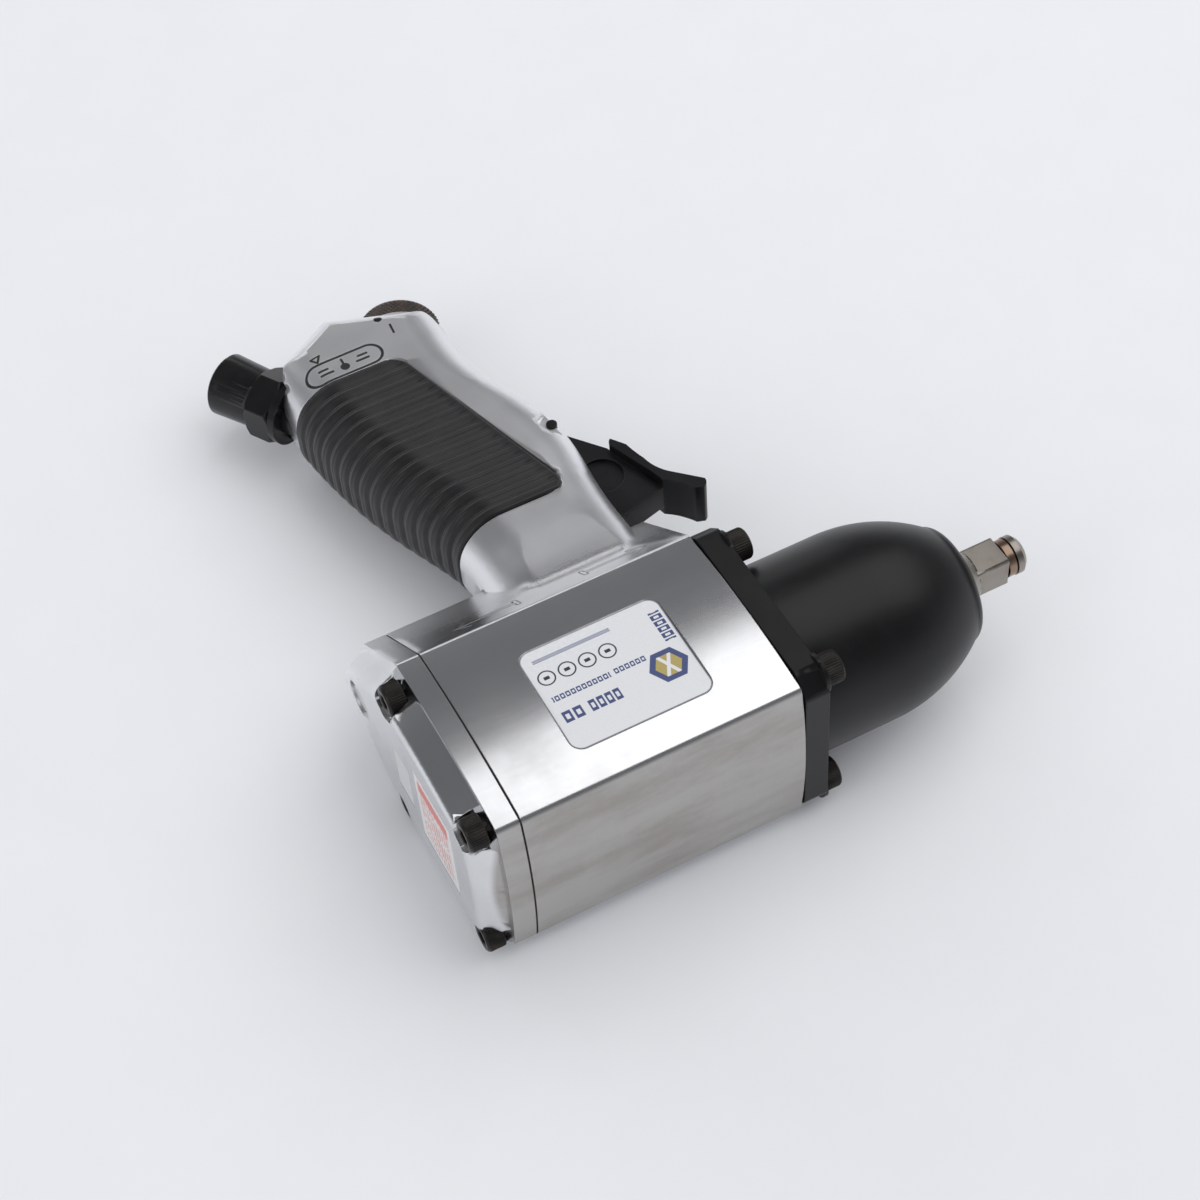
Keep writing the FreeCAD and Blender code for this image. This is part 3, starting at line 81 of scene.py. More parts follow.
class Wire:
    # one output socket; arithmetic on it adds Math nodes
    def __init__(self, tree, socket):
        self.tree = tree
        self.socket = socket

    def maths(self, operation, *inputs):
        return addNode(self.tree, "ShaderNodeMath", {"operation": operation}, dict(enumerate(inputs)))

    def __add__(self, other):
        return self.maths("ADD", self, other)

    def __sub__(self, other):
        return self.maths("SUBTRACT", self, other)

    def __rsub__(self, other):
        return self.maths("SUBTRACT", other, self)

    def __mul__(self, other):
        return self.maths("MULTIPLY", self, other)

    def __truediv__(self, other):
        return self.maths("DIVIDE", self, other)

    def __neg__(self):
        return self.maths("MULTIPLY", self, -1.0)

    def __abs__(self):
        return self.maths("ABSOLUTE", self)

    def smaller(self, other):
        return self.maths("MINIMUM", self, other)

    def larger(self, other):
        return self.maths("MAXIMUM", self, other)

    def root(self):
        return self.maths("SQRT", self)

    def wrapped(self, size):  # -size/2 .. size/2
        return self.maths("WRAP", self, size / 2, -size / 2)

    def rise(self, start, end):  # 0 before start, 1 after end, smooth between
        return addNode(self.tree, "ShaderNodeMapRange", {"interpolation_type": "SMOOTHSTEP"},
                       {"Value": self, "From Min": start, "From Max": end})

    __radd__ = __add__
    __rmul__ = __mul__


def addNode(tree, kind, settings, sockets, out=0):
    made = tree.nodes.new(kind)
    for name, value in settings.items():
        if name == "stops":
            ramp = made.color_ramp.elements
            ramp[0].position, ramp[0].color = value[0][0], (*value[0][1], 1)
            ramp[-1].position, ramp[-1].color = value[-1][0], (*value[-1][1], 1)
            for place, colour in value[1:-1]:
                ramp.new(place).color = (*colour, 1)
        else:
            setattr(made, name, value)
    for name, value in sockets.items():
        if isinstance(value, Wire):
            tree.links.new(value.socket, made.inputs[name])
        else:
            made.inputs[name].default_value = value
    return Wire(tree, made.outputs[out])


def mixColours(tree, factor, low, high):
    low, high = (c if isinstance(c, Wire) else (*c, 1) for c in (low, high))
    return addNode(tree, "ShaderNodeMix", {"data_type": "RGBA"}, {0: factor, 6: low, 7: high}, 2)


class Finish:
    # a material: constants go on the shader's own sockets, patterns are built from x, y, z in metres
    def __init__(self, name, **constants):
        self.material = bpy.data.materials.new(name)
        self.material.use_nodes = True
        self.tree = self.material.node_tree
        self.shader = self.tree.nodes["Principled BSDF"]
        for socket, value in constants.items():
            self.shader.inputs[socket.replace("_", " ")].default_value = value
        self.place = self.node("ShaderNodeTexCoord", {}, {}, "Object")
        split = self.node("ShaderNodeSeparateXYZ", {}, {0: self.place})
        self.x, self.y, self.z = (Wire(self.tree, o) for o in split.socket.node.outputs)

    def node(self, kind, settings, sockets, out=0):
        return addNode(self.tree, kind, settings, sockets, out)

    def noise(self, scale, detail=3.0, rough=0.55):
        # scale is per metre, one number or three
        spots = scale if isinstance(scale, tuple) else (scale, scale, scale)
        stretched = self.node("ShaderNodeVectorMath", {"operation": "MULTIPLY"}, {0: self.place, 1: spots})
        return self.node("ShaderNodeTexNoise", {}, {"Vector": stretched, "Scale": 1.0, "Detail": detail,
                                                    "Roughness": rough})

    def between(self, factor, low, high):
        return mixColours(self.tree, factor, low, high)

    def feed(self, **sockets):
        for name, value in sockets.items():
            self.tree.links.new(value.socket, self.shader.inputs[name.replace("_", " ")])
        return self.material

    def bump(self, height, depth, under=None):
        # height 0..1 becomes a relief of that depth in metres
        sockets = {"Height": height, "Distance": depth, "Strength": 1.0}
        if under:
            sockets["Normal"] = under
        return self.node("ShaderNodeBump", {}, sockets)

    def softEdge(self, radius):
        return self.node("ShaderNodeBevel", {"samples": 6}, {"Radius": radius})


# Distances in the XY plane, as wires, for printed and engraved marks
def toLine(f, start, end):
    # distance to the stretch from start to end: the nearest point is start + share * (end - start)
    ax, ay = start
    bx, by = end[0] - ax, end[1] - ay
    length2 = bx * bx + by * by
    px, py = f.x - ax, f.y - ay
    share = ((px * bx + py * by) / length2).larger(0.0).smaller(1.0)
    dx, dy = px - share * bx, py - share * by
    return (dx * dx + dy * dy).root()


def toPoint(f, centre):
    dx, dy = f.x - centre[0], f.y - centre[1]
    return (dx * dx + dy * dy).root()


def toBox(f, centre, half):
    # distance outside an upright box, from the larger of the two overshoots
    return (abs(f.x - centre[0]) - half[0]).larger(abs(f.y - centre[1]) - half[1])


def inside(distance, edge, soft=0.08 * mm):
    return 1.0 - distance.rise(edge - soft, edge + soft)


housingMarks = {
    "frameStart": (18.7, 137.7), "frameEnd": (33.9, 137.9), "frameRadius": 3.7, "lineWidth": 0.42,
    "dropCentre": (26.3, 137.0), "dropRadius": 1.35, "dropTip": (26.3, 140.1),
    "dropNeck": 0.35, "barWidth": 0.42,
    "bars": [((19.2, 137.0), (22.6, 137.0)), ((19.2, 138.7), (21.6, 138.7)),
             ((30.0, 137.2), (33.4, 137.2)), ((31.0, 138.9), (33.4, 138.9))],
    "pointer": [
        ((20.2, 142.2), (21.6, 144.6)), ((21.6, 144.6), (18.8, 144.2)), ((20.2, 142.2), (18.8, 144.2)),
    ],
    "tick": ((43.7, 145.6), (43.4, 142.2)),
    "arrowHead": (3.4, 2.1, 1.6),  # barb along, barb across, half the tail's bar
    "arrowLength": 17.0, "arrowWidth": 0.42,
    "rearArrow": (12.0, 35.6), "frontArrow": (65.0, 35.6),
    # rim: dark colour painted round the raised arrows as shade at their foot; ink: the printed side marks
    "rim": (0.06, 0.06, 0.06), "ink": (0.03, 0.03, 0.03),
}


def fromSeam(point):
    return point[0] * mm + seamX, point[1] * mm


def arrowDistance(f, tip, toFront):
    # shaft and two barbs, drawn from the tip backwards
    side = -1 if toFront else 1
    x, y = tip
    length = housingMarks["arrowLength"]
    barb, spread, cross = housingMarks["arrowHead"]
    end = x + side * length
    strokes = [((x, y), (end, y)), ((x, y), (x + side * barb, y + spread)),
               ((x, y), (x + side * barb, y - spread)), ((end, y + cross), (end, y - cross))]
    lines = [toLine(f, fromSeam(a), fromSeam(b)) for a, b in strokes]
    nearest = lines[0]
    for line in lines[1:]:
        nearest = nearest.smaller(line)
    return nearest


aluminiumLook = {
    # the two darker top-face colours below hold painted shade; real stain mottling mixes the two
    "colour": (0.78, 0.785, 0.80), "dull": (0.60, 0.60, 0.605), "satin": (0.50, 0.485, 0.47),
    "stained": (0.40, 0.375, 0.35), "bright": (0.89, 0.895, 0.91),
    "polished": 0.17, "brushed": 0.17, "satinHandle": 0.13, "blend": 3.0 * mm,
    "waviness": 0.035 * mm, "edge": 0.25 * mm, "grainDepth": 0.003 * mm, "markDepth": 0.12 * mm,
    # from the spindle axis: where the top face, the handle and its root fade in, and where the root fades out
    "topFace": (26.1 * mm, 27.2 * mm), "handle": (34 * mm, 52 * mm),
    "rootIn": (29.5 * mm, 33 * mm), "rootOut": (44 * mm, 50 * mm),
}


def castAluminium(name, withMarks):
    # polished casting: slow waves bend the reflections, with fine buffing lines,
    # a brushed top face painted darker as shade, with real stain mottling, and a brighter, satiny handle
    look = aluminiumLook
    f = Finish(name, Metallic=1.0)
    cloud = f.noise(55, 4.0, 0.6)
    buffing = f.noise((60, 1400, 1400), 2.0, 0.6)
    grain = f.noise((2600, 90, 90), 3.0, 0.65)
    topFace = (-f.y).rise(*look["topFace"])
    stain = f.noise((25, 80, 80), 5.0, 0.65).rise(0.38, 0.72)
    base = f.between(cloud.rise(0.35, 0.75) * 0.4, look["colour"], look["dull"])
    # painted shade: the top face's colour is darkened to stand for its dim reflection, mottled by real stains
    base = f.between(topFace, base, f.between(stain, look["satin"], look["stained"]))
    onHandle = f.y.rise(*look["handle"])
    base = f.between(onHandle, base, look["bright"])
    rough = cloud.rise(0.3, 0.8) * 0.05 + buffing * 0.05 + look["polished"] + onHandle * look["satinHandle"]
    rough = rough + topFace * (grain * 0.12 + look["brushed"])
    wave = f.noise(70, 1.0, 0.4)
    # a wide soft edge only where the handle grows out of the barrel
    atRoot = f.y.rise(*look["rootIn"]) * (1.0 - f.y.rise(*look["rootOut"]))
    edges = f.node("ShaderNodeMix", {"data_type": "VECTOR"},
                   {0: atRoot, 4: f.softEdge(look["edge"]), 5: f.softEdge(look["blend"])}, 1)
    normal = f.bump(wave, look["waviness"], edges)
    scratches = buffing * (1.0 - topFace) * (1.0 - onHandle) * 0.15 + grain * topFace
    normal = f.bump(scratches, look["grainDepth"], normal)
    if withMarks:
        marks = housingMarks
        width = marks["lineWidth"] * mm
        onSide = f.z.rise(9 * mm, 10 * mm)
        frameLine = abs(toLine(f, fromSeam(marks["frameStart"]), fromSeam(marks["frameEnd"]))
                        - marks["frameRadius"] * mm)
        drop = toPoint(f, fromSeam(marks["dropCentre"])) - marks["dropRadius"] * mm
        tip = toLine(f, fromSeam(marks["dropCentre"]), fromSeam(marks["dropTip"])) - marks["dropNeck"] * mm
        ink = inside(frameLine, width).larger(inside(drop.smaller(tip), 0.0))
        for start, end in marks["bars"]:
            ink = ink.larger(inside(toLine(f, fromSeam(start), fromSeam(end)), marks["barWidth"] * mm))
        for start, end in [*marks["pointer"], marks["tick"]]:
            ink = ink.larger(inside(toLine(f, fromSeam(start), fromSeam(end)), width * 0.8))
        ink = ink * onSide
        rearArrow = arrowDistance(f, marks["rearArrow"], False)
        arrows = rearArrow.smaller(arrowDistance(f, marks["frontArrow"], True))
        leftHalf = f.z.rise(4 * mm, 5 * mm)
        raised = inside(arrows, marks["arrowWidth"] * mm, 0.15 * mm) * leftHalf
        # painted shade: a dark band round each raised arrow stands for the shade at its foot
        rim = inside(arrows, marks["arrowWidth"] * 1.9 * mm, 0.3 * mm) * leftHalf - raised
        base = f.between(rim.larger(0.0) * 0.9, base, marks["rim"])
        base = f.between(ink * 0.92, base, marks["ink"])
        rough = rough + ink * 0.4
        normal = f.bump(raised - ink, look["markDepth"], normal)
    return f.feed(Base_Color=base, Roughness=rough, Normal=normal)


def blackCoat(name, colour, roughness, peel, edge):
    # even black coat with a fine orange peel and paler clouds
    f = Finish(name, Metallic=0.0, Specular_IOR_Level=0.34)
    peelNoise = f.noise(1500, 2.0, 0.5)
    cloud = f.noise(90, 4.0, 0.6)
    pale = tuple(c * 2.0 + 0.005 for c in colour)
    base = f.between(cloud.rise(0.35, 0.8) * 0.35, colour, pale)
    rough = cloud * 0.14 + (roughness - 0.07)
    normal = f.bump(peelNoise, peel, f.softEdge(edge))
    return f.feed(Base_Color=base, Roughness=rough, Normal=normal)


def blackOxide(name, colour, roughness, brown=0.0):
    # thin conversion coat on steel: half metallic, slightly brown and blotchy
    f = Finish(name, Metallic=0.75)
    cloud = f.noise(260, 4.0, 0.65)
    fine = f.noise(2400, 2.0, 0.5)
    tint = (colour[0] * (1.7 + brown), colour[1] * 1.5, colour[2] * 1.35)
    base = f.between(cloud.rise(0.35, 0.7), colour, tint)
    rough = fine * 0.16 + (roughness - 0.08)
    normal = f.bump(fine, 0.006 * mm, f.softEdge(0.18 * mm))
    return f.feed(Base_Color=base, Roughness=rough, Normal=normal)


def steel(name, colour, roughness, lines, warm=None):
    # turned steel: rings across the axis, or cloudy where lines is 0
    f = Finish(name, Metallic=1.0)
    rings = f.noise((lines, 60, 60), 2.0, 0.6)
    cloud = f.noise(170, 4.0, 0.6)
    base = f.between(cloud.rise(0.4, 0.75) * 0.6, colour, warm or tuple(c * 0.8 for c in colour))
    rough = rings * 0.14 + cloud * 0.08 + (roughness - 0.11)
    normal = f.bump(rings, 0.006 * mm, f.softEdge(0.2 * mm))
    return f.feed(Base_Color=base, Roughness=rough, Normal=normal)


def moulded(name, colour, roughness, grainSize, grainDepth):
    f = Finish(name)
    grain = f.noise(1000 / grainSize, 3.0, 0.6)
    cloud = f.noise(120, 3.0, 0.6)
    base = f.between(cloud.rise(0.3, 0.8) * 0.5, colour, tuple(c * 1.5 + 0.004 for c in colour))
    rough = cloud * 0.12 + (roughness - 0.06)
    return f.feed(Base_Color=base, Roughness=rough, Normal=f.bump(grain, grainDepth, f.softEdge(0.25 * mm)))


rubberLook = {"colour": (0.007, 0.007, 0.0075), "worn": (0.020, 0.0195, 0.020), "roughness": 0.40}


def ribbedRubber(name):
    # black rubber with a faint bloom and fine lines pulled along the ribs
    f = Finish(name, Sheen_Weight=0.15, Sheen_Roughness=0.4)
    drawn = f.noise((45, 2600, 300), 3.0, 0.6)
    cloud = f.noise(110, 4.0, 0.6)
    base = f.between(cloud.rise(0.35, 0.8) * 0.6 + drawn * 0.25, rubberLook["colour"], rubberLook["worn"])
    rough = drawn * 0.2 + cloud * 0.1 + (rubberLook["roughness"] - 0.15)
    return f.feed(Base_Color=base, Roughness=rough, Normal=f.bump(drawn, 0.05 * mm))


plateMarks = {
    "white": (0.70, 0.705, 0.72), "blue": (0.055, 0.075, 0.19), "gold": (0.42, 0.33, 0.11),
    "ink": (0.03, 0.035, 0.05), "dusty": (0.62, 0.62, 0.63),
    "icons": [(23.2, 6.0), (28.7, 6.0), (34.2, 6.0), (39.7, 6.0)], "iconRadius": 2.1,
    "bars": [  # centre, half size, step: small print, medium print, a bold line and an upright word
        ((32.6, 11.6), (10.5, 0.5), 0.9), ((29.2, -0.6), (7.8, 0.8), 1.45), ((42.4, -0.4), (4.2, 0.8), 1.45),
        ((24.0, -6.6), (3.0, 1.7), 2.9), ((32.6, -6.6), (4.4, 1.7), 2.2), ((54.8, 6.2), (1.5, 4.8), 2.0)],
    "stroke": 0.18, "gap": (0.08, 0.14),  # shares of a dash's step
    "hollow": 0.45,  # share of the bar's half height
    "badge": (50.6, -5.0), "badgeRadius": 4.6, "badgeCore": 0.68, "corner": 3.4,
}


def printedPlate(name):
    # white plate under a clear film: four ringed icons, bars for lines of print and a six-sided badge
    f = Finish(name, Coat_Weight=0.5, Coat_Roughness=0.08, Roughness=0.3)
    marks = plateMarks
    blue, dark = None, None
    for centre, half, step in marks["bars"]:
        # each bar is cut across its long side into hollow, letter-like dashes, one every step
        pitch = step * mm
        cx, cy = fromSeam(centre)
        across, up = (f.x - cx, f.y - cy) if half[0] > half[1] else (f.y - cy, f.x - cx)
        bar = inside(toBox(f, (cx, cy), (half[0] * mm, half[1] * mm)), 0.0, 0.05 * mm)
        letter = abs(across.wrapped(pitch))
        hollow = 0.5 * pitch - letter - marks["stroke"] * pitch
        hollow = hollow.larger(abs(up) - marks["hollow"] * min(half) * mm)
        gapStart, gapEnd = marks["gap"]
        bar = bar * letter.rise(gapStart * pitch, gapEnd * pitch) * hollow.rise(-0.04 * mm, 0.04 * mm)
        blue = bar if blue is None else blue.larger(bar)
    for place in marks["icons"]:
        distance = toPoint(f, fromSeam(place))
        ring = inside(abs(distance - marks["iconRadius"] * mm), 0.2 * mm)
        dot = inside(toBox(f, fromSeam(place), (0.75 * mm, 0.5 * mm)), 0.0)
        dark = ring.larger(dot) if dark is None else dark.larger(ring.larger(dot))
    bx, by = fromSeam(marks["badge"])
    u, v = abs(f.x - bx), abs(f.y - by)
    hexagon = (u * 0.866 + v * 0.5).larger(v)
    radius = marks["badgeRadius"] * mm
    badge = inside(hexagon, radius)
    core = inside(hexagon, radius * marks["badgeCore"])
    slit = inside(abs(u - v * 0.5), 0.5 * mm)
    dust = f.noise(700, 3.0, 0.6)
    base = f.between(dust.rise(0.4, 0.9) * 0.12, marks["white"], marks["dusty"])
    base = f.between(blue, base, marks["blue"])
    base = f.between(dark, base, marks["ink"])
    base = f.between(badge, base, marks["blue"])
    base = f.between(core, base, marks["gold"])
    base = f.between(core * slit, base, marks["white"])
    low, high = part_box("nameplate")
    corner = marks["corner"] * mm
    overX = (abs(f.x - (low.x + high.x) / 2) - (high.x - low.x) / 2 + corner).larger(0.0)
    overY = (abs(f.y - (low.y + high.y) / 2) - (high.y - low.y) / 2 + corner).larger(0.0)
    inward = (overX * overX + overY * overY).root() - corner
    base = f.between(inward.rise(-0.45 * mm, -0.25 * mm) * 0.75, base, marks["ink"])
    rim = 1.0 - abs(f.z - 26.9 * mm).rise(1.2 * mm, 1.5 * mm)
    return f.feed(Base_Color=base, Roughness=dust * 0.1 + 0.22, Normal=f.bump(dust * rim, 0.004 * mm))


labelLook = {
    "white": (0.78, 0.77, 0.76), "red": (0.72, 0.10, 0.07), "silver": (0.62, 0.62, 0.62), "line": 1.6,
    "panelY": -3.4, "panelHalf": (8.4, 12.0), "headZ": 9.5, "headHalf": 2.2,
}


def capLabel(name):
    # the wide label is white with red panels and lines of print, the narrow one is plain silver film
    f = Finish(name, Roughness=0.32, Coat_Weight=0.3, Coat_Roughness=0.1)
    wide = 1.0 - f.y.rise(8.5 * mm, 9.5 * mm)
    look = labelLook
    halfY, halfZ = look["panelHalf"]
    column = inside(abs(f.y - look["panelY"] * mm) - halfY * mm, 0.0)
    panel = column * inside(abs(f.z) - halfZ * mm, 0.0)
    lines = abs(f.y.wrapped(look["line"] * mm)).rise(0.3 * mm, 0.42 * mm)
    words = f.noise((900, 260, 900), 2.0, 0.5).rise(0.45, 0.5)
    head = inside(abs(f.z - look["headZ"] * mm) - look["headHalf"] * mm, 0.0) * column
    red = (panel * lines * words * 0.8).larger(head)
    base = f.between(red * wide, look["white"], look["red"])
    base = f.between(1.0 - wide, base, look["silver"])
    dust = f.noise(500, 3.0, 0.6)
    return f.feed(Base_Color=base, Roughness=dust * 0.14 + 0.24, Normal=f.bump(dust, 0.004 * mm))


finishes = {
    "cast_housing": castAluminium("castHousing", True),
    "cast_cap": castAluminium("castCap", False),
    "grip_rubber": ribbedRubber("gripRubber"),
    "side_plate": printedPlate("sidePlate"),
    "rear_label": capLabel("rearLabel"),
    "gasket_fibre": moulded("gasketFibre", (0.02, 0.018, 0.016), 0.7, 0.4, 0.02 * mm),
    "black_screw": blackOxide("blackScrew", (0.022, 0.021, 0.020), 0.36),
    "ground_steel": steel("groundSteel", (0.62, 0.61, 0.60), 0.26, 900),
    "bearing_steel": steel("bearingSteel", (0.75, 0.75, 0.76), 0.16, 600),
    "liner_iron": steel("linerIron", (0.34, 0.34, 0.35), 0.40, 500),
    "blade_composite": moulded("bladeComposite", (0.20, 0.11, 0.055), 0.55, 0.3, 0.03 * mm),
    "hammer_steel": steel("hammerSteel", (0.42, 0.41, 0.40), 0.36, 700),
    "drive_steel": steel("driveSteel", (0.34, 0.31, 0.28), 0.32, 1100, (0.27, 0.23, 0.19)),
    "retainer_steel": steel("retainerSteel", (0.34, 0.24, 0.18), 0.28, 500, (0.20, 0.13, 0.10)),
    "seal_rubber": moulded("sealRubber", (0.012, 0.012, 0.012), 0.45, 0.5, 0.01 * mm),
    "case_black": blackCoat("caseBlack", (0.0045, 0.0045, 0.005), 0.36, 0.010 * mm, 0.5 * mm),
    "bushing_bronze": steel("bushingBronze", (0.66, 0.45, 0.24), 0.34, 800),
    "trigger_black": blackCoat("triggerBlack", (0.007, 0.007, 0.008), 0.30, 0.006 * mm, 0.45 * mm),
    "black_pin": blackOxide("blackPin", (0.028, 0.028, 0.028), 0.30),
    "valve_brass": steel("valveBrass", (0.78, 0.58, 0.27), 0.24, 900),
    "spring_steel": steel("springSteel", (0.45, 0.45, 0.46), 0.25, 300),
    "spool_steel": steel("spoolSteel", (0.58, 0.57, 0.56), 0.22, 900),
    "knob_black": blackOxide("knobBlack", (0.085, 0.078, 0.072), 0.34, 0.2),
    "inlet_black": blackCoat("inletBlack", (0.007, 0.007, 0.0075), 0.24, 0.004 * mm, 0.35 * mm),
    "screen_steel": steel("screenSteel", (0.50, 0.50, 0.50), 0.30, 2000),
}
slotOf = {part["node"]: part["material_slot"] for part in frame["record"]["subparts"]}
for name, cadNode in nodes.items():
    cadNode.data.materials.clear()
    cadNode.data.materials.append(finishes[slotOf[name]])
print("finishes made:", len(finishes))


def place(name, mesh, body, slot, replaced):
    piece = bpy.data.objects.new(name, mesh)
    bpy.context.scene.collection.objects.link(piece)
    mesh.materials.clear()
    mesh.materials.append(finishes[slot])
    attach(piece, body)
    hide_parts(*replaced)
    return piece


def bodyOf(nodeName):
    return nodes[nodeName]["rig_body"]


flatLimit = 0.3  # degrees: neighbours this flat are one face, so that long triangles don't bend the shading
crowns = [  # centre (y, z), radius and direction of the barrel's three bowed faces
    ((1.2, -169.6), 197.0, (0, 1)), ((1.2, 169.6), 197.0, (0, -1)), ((118.7, 0), 147.7, (-1, 0)),
]


def evenNormals(mesh):
    # Corner normals weighted by area: the mean over each smooth fan of face normal * face area. On a bowed
    # face they are the circle's own: (y, z) less the centre, divided by the radius.
    count = len(mesh.loops)
    corner, normal = np.empty(count * 3), np.empty(len(mesh.polygons) * 3)
    mesh.corner_normals.foreach_get("vector", corner)
    mesh.polygons.foreach_get("normal", normal)
    area, size = np.empty(len(mesh.polygons)), np.empty(len(mesh.polygons), int)
    mesh.polygons.foreach_get("area", area)
    mesh.polygons.foreach_get("loop_total", size)
    vertex, place = np.empty(count, int), np.empty(len(mesh.vertices) * 3)
    mesh.loops.foreach_get("vertex_index", vertex)
    mesh.vertices.foreach_get("co", place)
    face = np.repeat(np.arange(len(mesh.polygons)), size)
    normal = normal.reshape(-1, 3)[face]
    fans = np.column_stack([vertex, np.round(corner.reshape(-1, 3) * 2000)])
    fan = np.unique(fans, axis=0, return_inverse=True)[1].ravel()
    total = np.zeros((fan.max() + 1, 3))
    np.add.at(total, fan, normal * area[face, None])
    even = total[fan]
    even /= np.maximum(np.linalg.norm(even, axis=1, keepdims=True), 1e-12)
    point = place.reshape(-1, 3)[vertex] / mm
    for centre, radius, facing in crowns:
        ray = point[:, 1:] - centre
        far = np.linalg.norm(ray, axis=1)
        ray = ray / far[:, None]
        onCrown = (np.abs(far - radius) < 0.08) & ((ray * facing).sum(1) > 0.98)
        onCrown &= (normal[:, 1:] * ray).sum(1) > 0.998
        even[onCrown] = np.column_stack([np.zeros(onCrown.sum()), ray[onCrown]])
    mesh.normals_split_custom_set(even.tolist())


def smoothCopy(nodeName, angle=32):
    # the node's triangles joined at their corners, smooth except over edges sharper than the angle
    mesh = nodes[nodeName].data.copy()
    work = bmesh.new()
    work.from_mesh(mesh)
    bmesh.ops.remove_doubles(work, verts=work.verts, dist=1e-6)
    bmesh.ops.dissolve_limit(work, angle_limit=math.radians(flatLimit), verts=work.verts, edges=work.edges)
    work.to_mesh(mesh)
    work.free()
    mesh.polygons.foreach_set("use_smooth", np.ones(len(mesh.polygons), bool))
    mesh.set_sharp_from_angle(angle=math.radians(angle))
    name = "".join(word.capitalize() for word in nodeName.split("_"))
    name = name[0].lower() + name[1:]
    evenNormals(mesh)
    return place(name, mesh, bodyOf(nodeName), slotOf[nodeName], [nodeName])


copied = {}
for nodeName in ("motor_housing", "rear_cap", "hammer_case", "anvil", "socket_retainer_ring", "trigger",
                 "inlet_bushing", "inlet_washer", "reverse_valve_spool", "trigger_pivot_pin", "nameplate",
                 "throttle_spring"):
    copied[nodeName] = smoothCopy(nodeName)

triggerEdge = {"width": 0.7 * mm, "segments": 3, "limit_method": "ANGLE", "angle_limit": math.radians(35)}
softened = copied["trigger"].modifiers.new("softened", "BEVEL")
for setting, value in triggerEdge.items():
    setattr(softened, setting, value)

# the throttle spring gets a mesh of its own; the share it would shorten by over the valve's travel is
# computed and not used
spring = copied["throttle_spring"]
low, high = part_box("throttle_spring")
slide = next(joint for joint in frame["joints"] if joint["name"] == "throttle_slide")
travel = max(abs(limit) for limit in slide["range_m"])
1 - travel / (high.x - low.x)
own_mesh(spring)


def gridMesh(name, points, aroundClosed):
    # points[i, j] is a grid: i goes round, j goes along. Quads join neighbours; i wraps where it is closed.
    count, rows = points.shape[:2]
    index = np.arange(count * rows).reshape(count, rows)
    following = np.roll(index, -1, axis=0) if aroundClosed else index[1:]
    current = index if aroundClosed else index[:-1]
    quads = np.stack([current[:, :-1], following[:, :-1], following[:, 1:], current[:, 1:]], axis=-1)
    quads = quads.reshape(-1, 4)
    mesh = bpy.data.meshes.new(name)
    mesh.from_pydata(points.reshape(-1, 3).tolist(), [], quads.tolist())
    return mesh


def tidyMesh(mesh, angle):
    # joins the corners that meet, turns the faces outwards and smooths all but the sharp edges
    work = bmesh.new()
    work.from_mesh(mesh)
    bmesh.ops.remove_doubles(work, verts=work.verts, dist=2e-6)
    bmesh.ops.dissolve_degenerate(work, edges=work.edges, dist=1e-7)
    bmesh.ops.recalc_face_normals(work, faces=work.faces)
    work.to_mesh(mesh)
    work.free()
    mesh.polygons.foreach_set("use_smooth", np.ones(len(mesh.polygons), bool))
    mesh.set_sharp_from_angle(angle=math.radians(angle))
    return mesh


gripShape = {
    "depths": [61, 76, 91, 106, 121, 136], "rears": [27.2, 24.2, 18.2, 13.2, 9.8, 7.8],
    "half": 16.25, "cornerShare": 0.86, "frontTop": 60.4, "frontBottom": 40.9, "corner": 5.0,
    "ribs": 16, "ribHeight": 0.62, "rearHeight": 1.05, "lineHeight": 0.07, "proud": 0.55, "rollIn": 1.1,
    "rows": 300, "sideColumns": 40, "cornerColumns": 18, "rearColumns": 3,
}


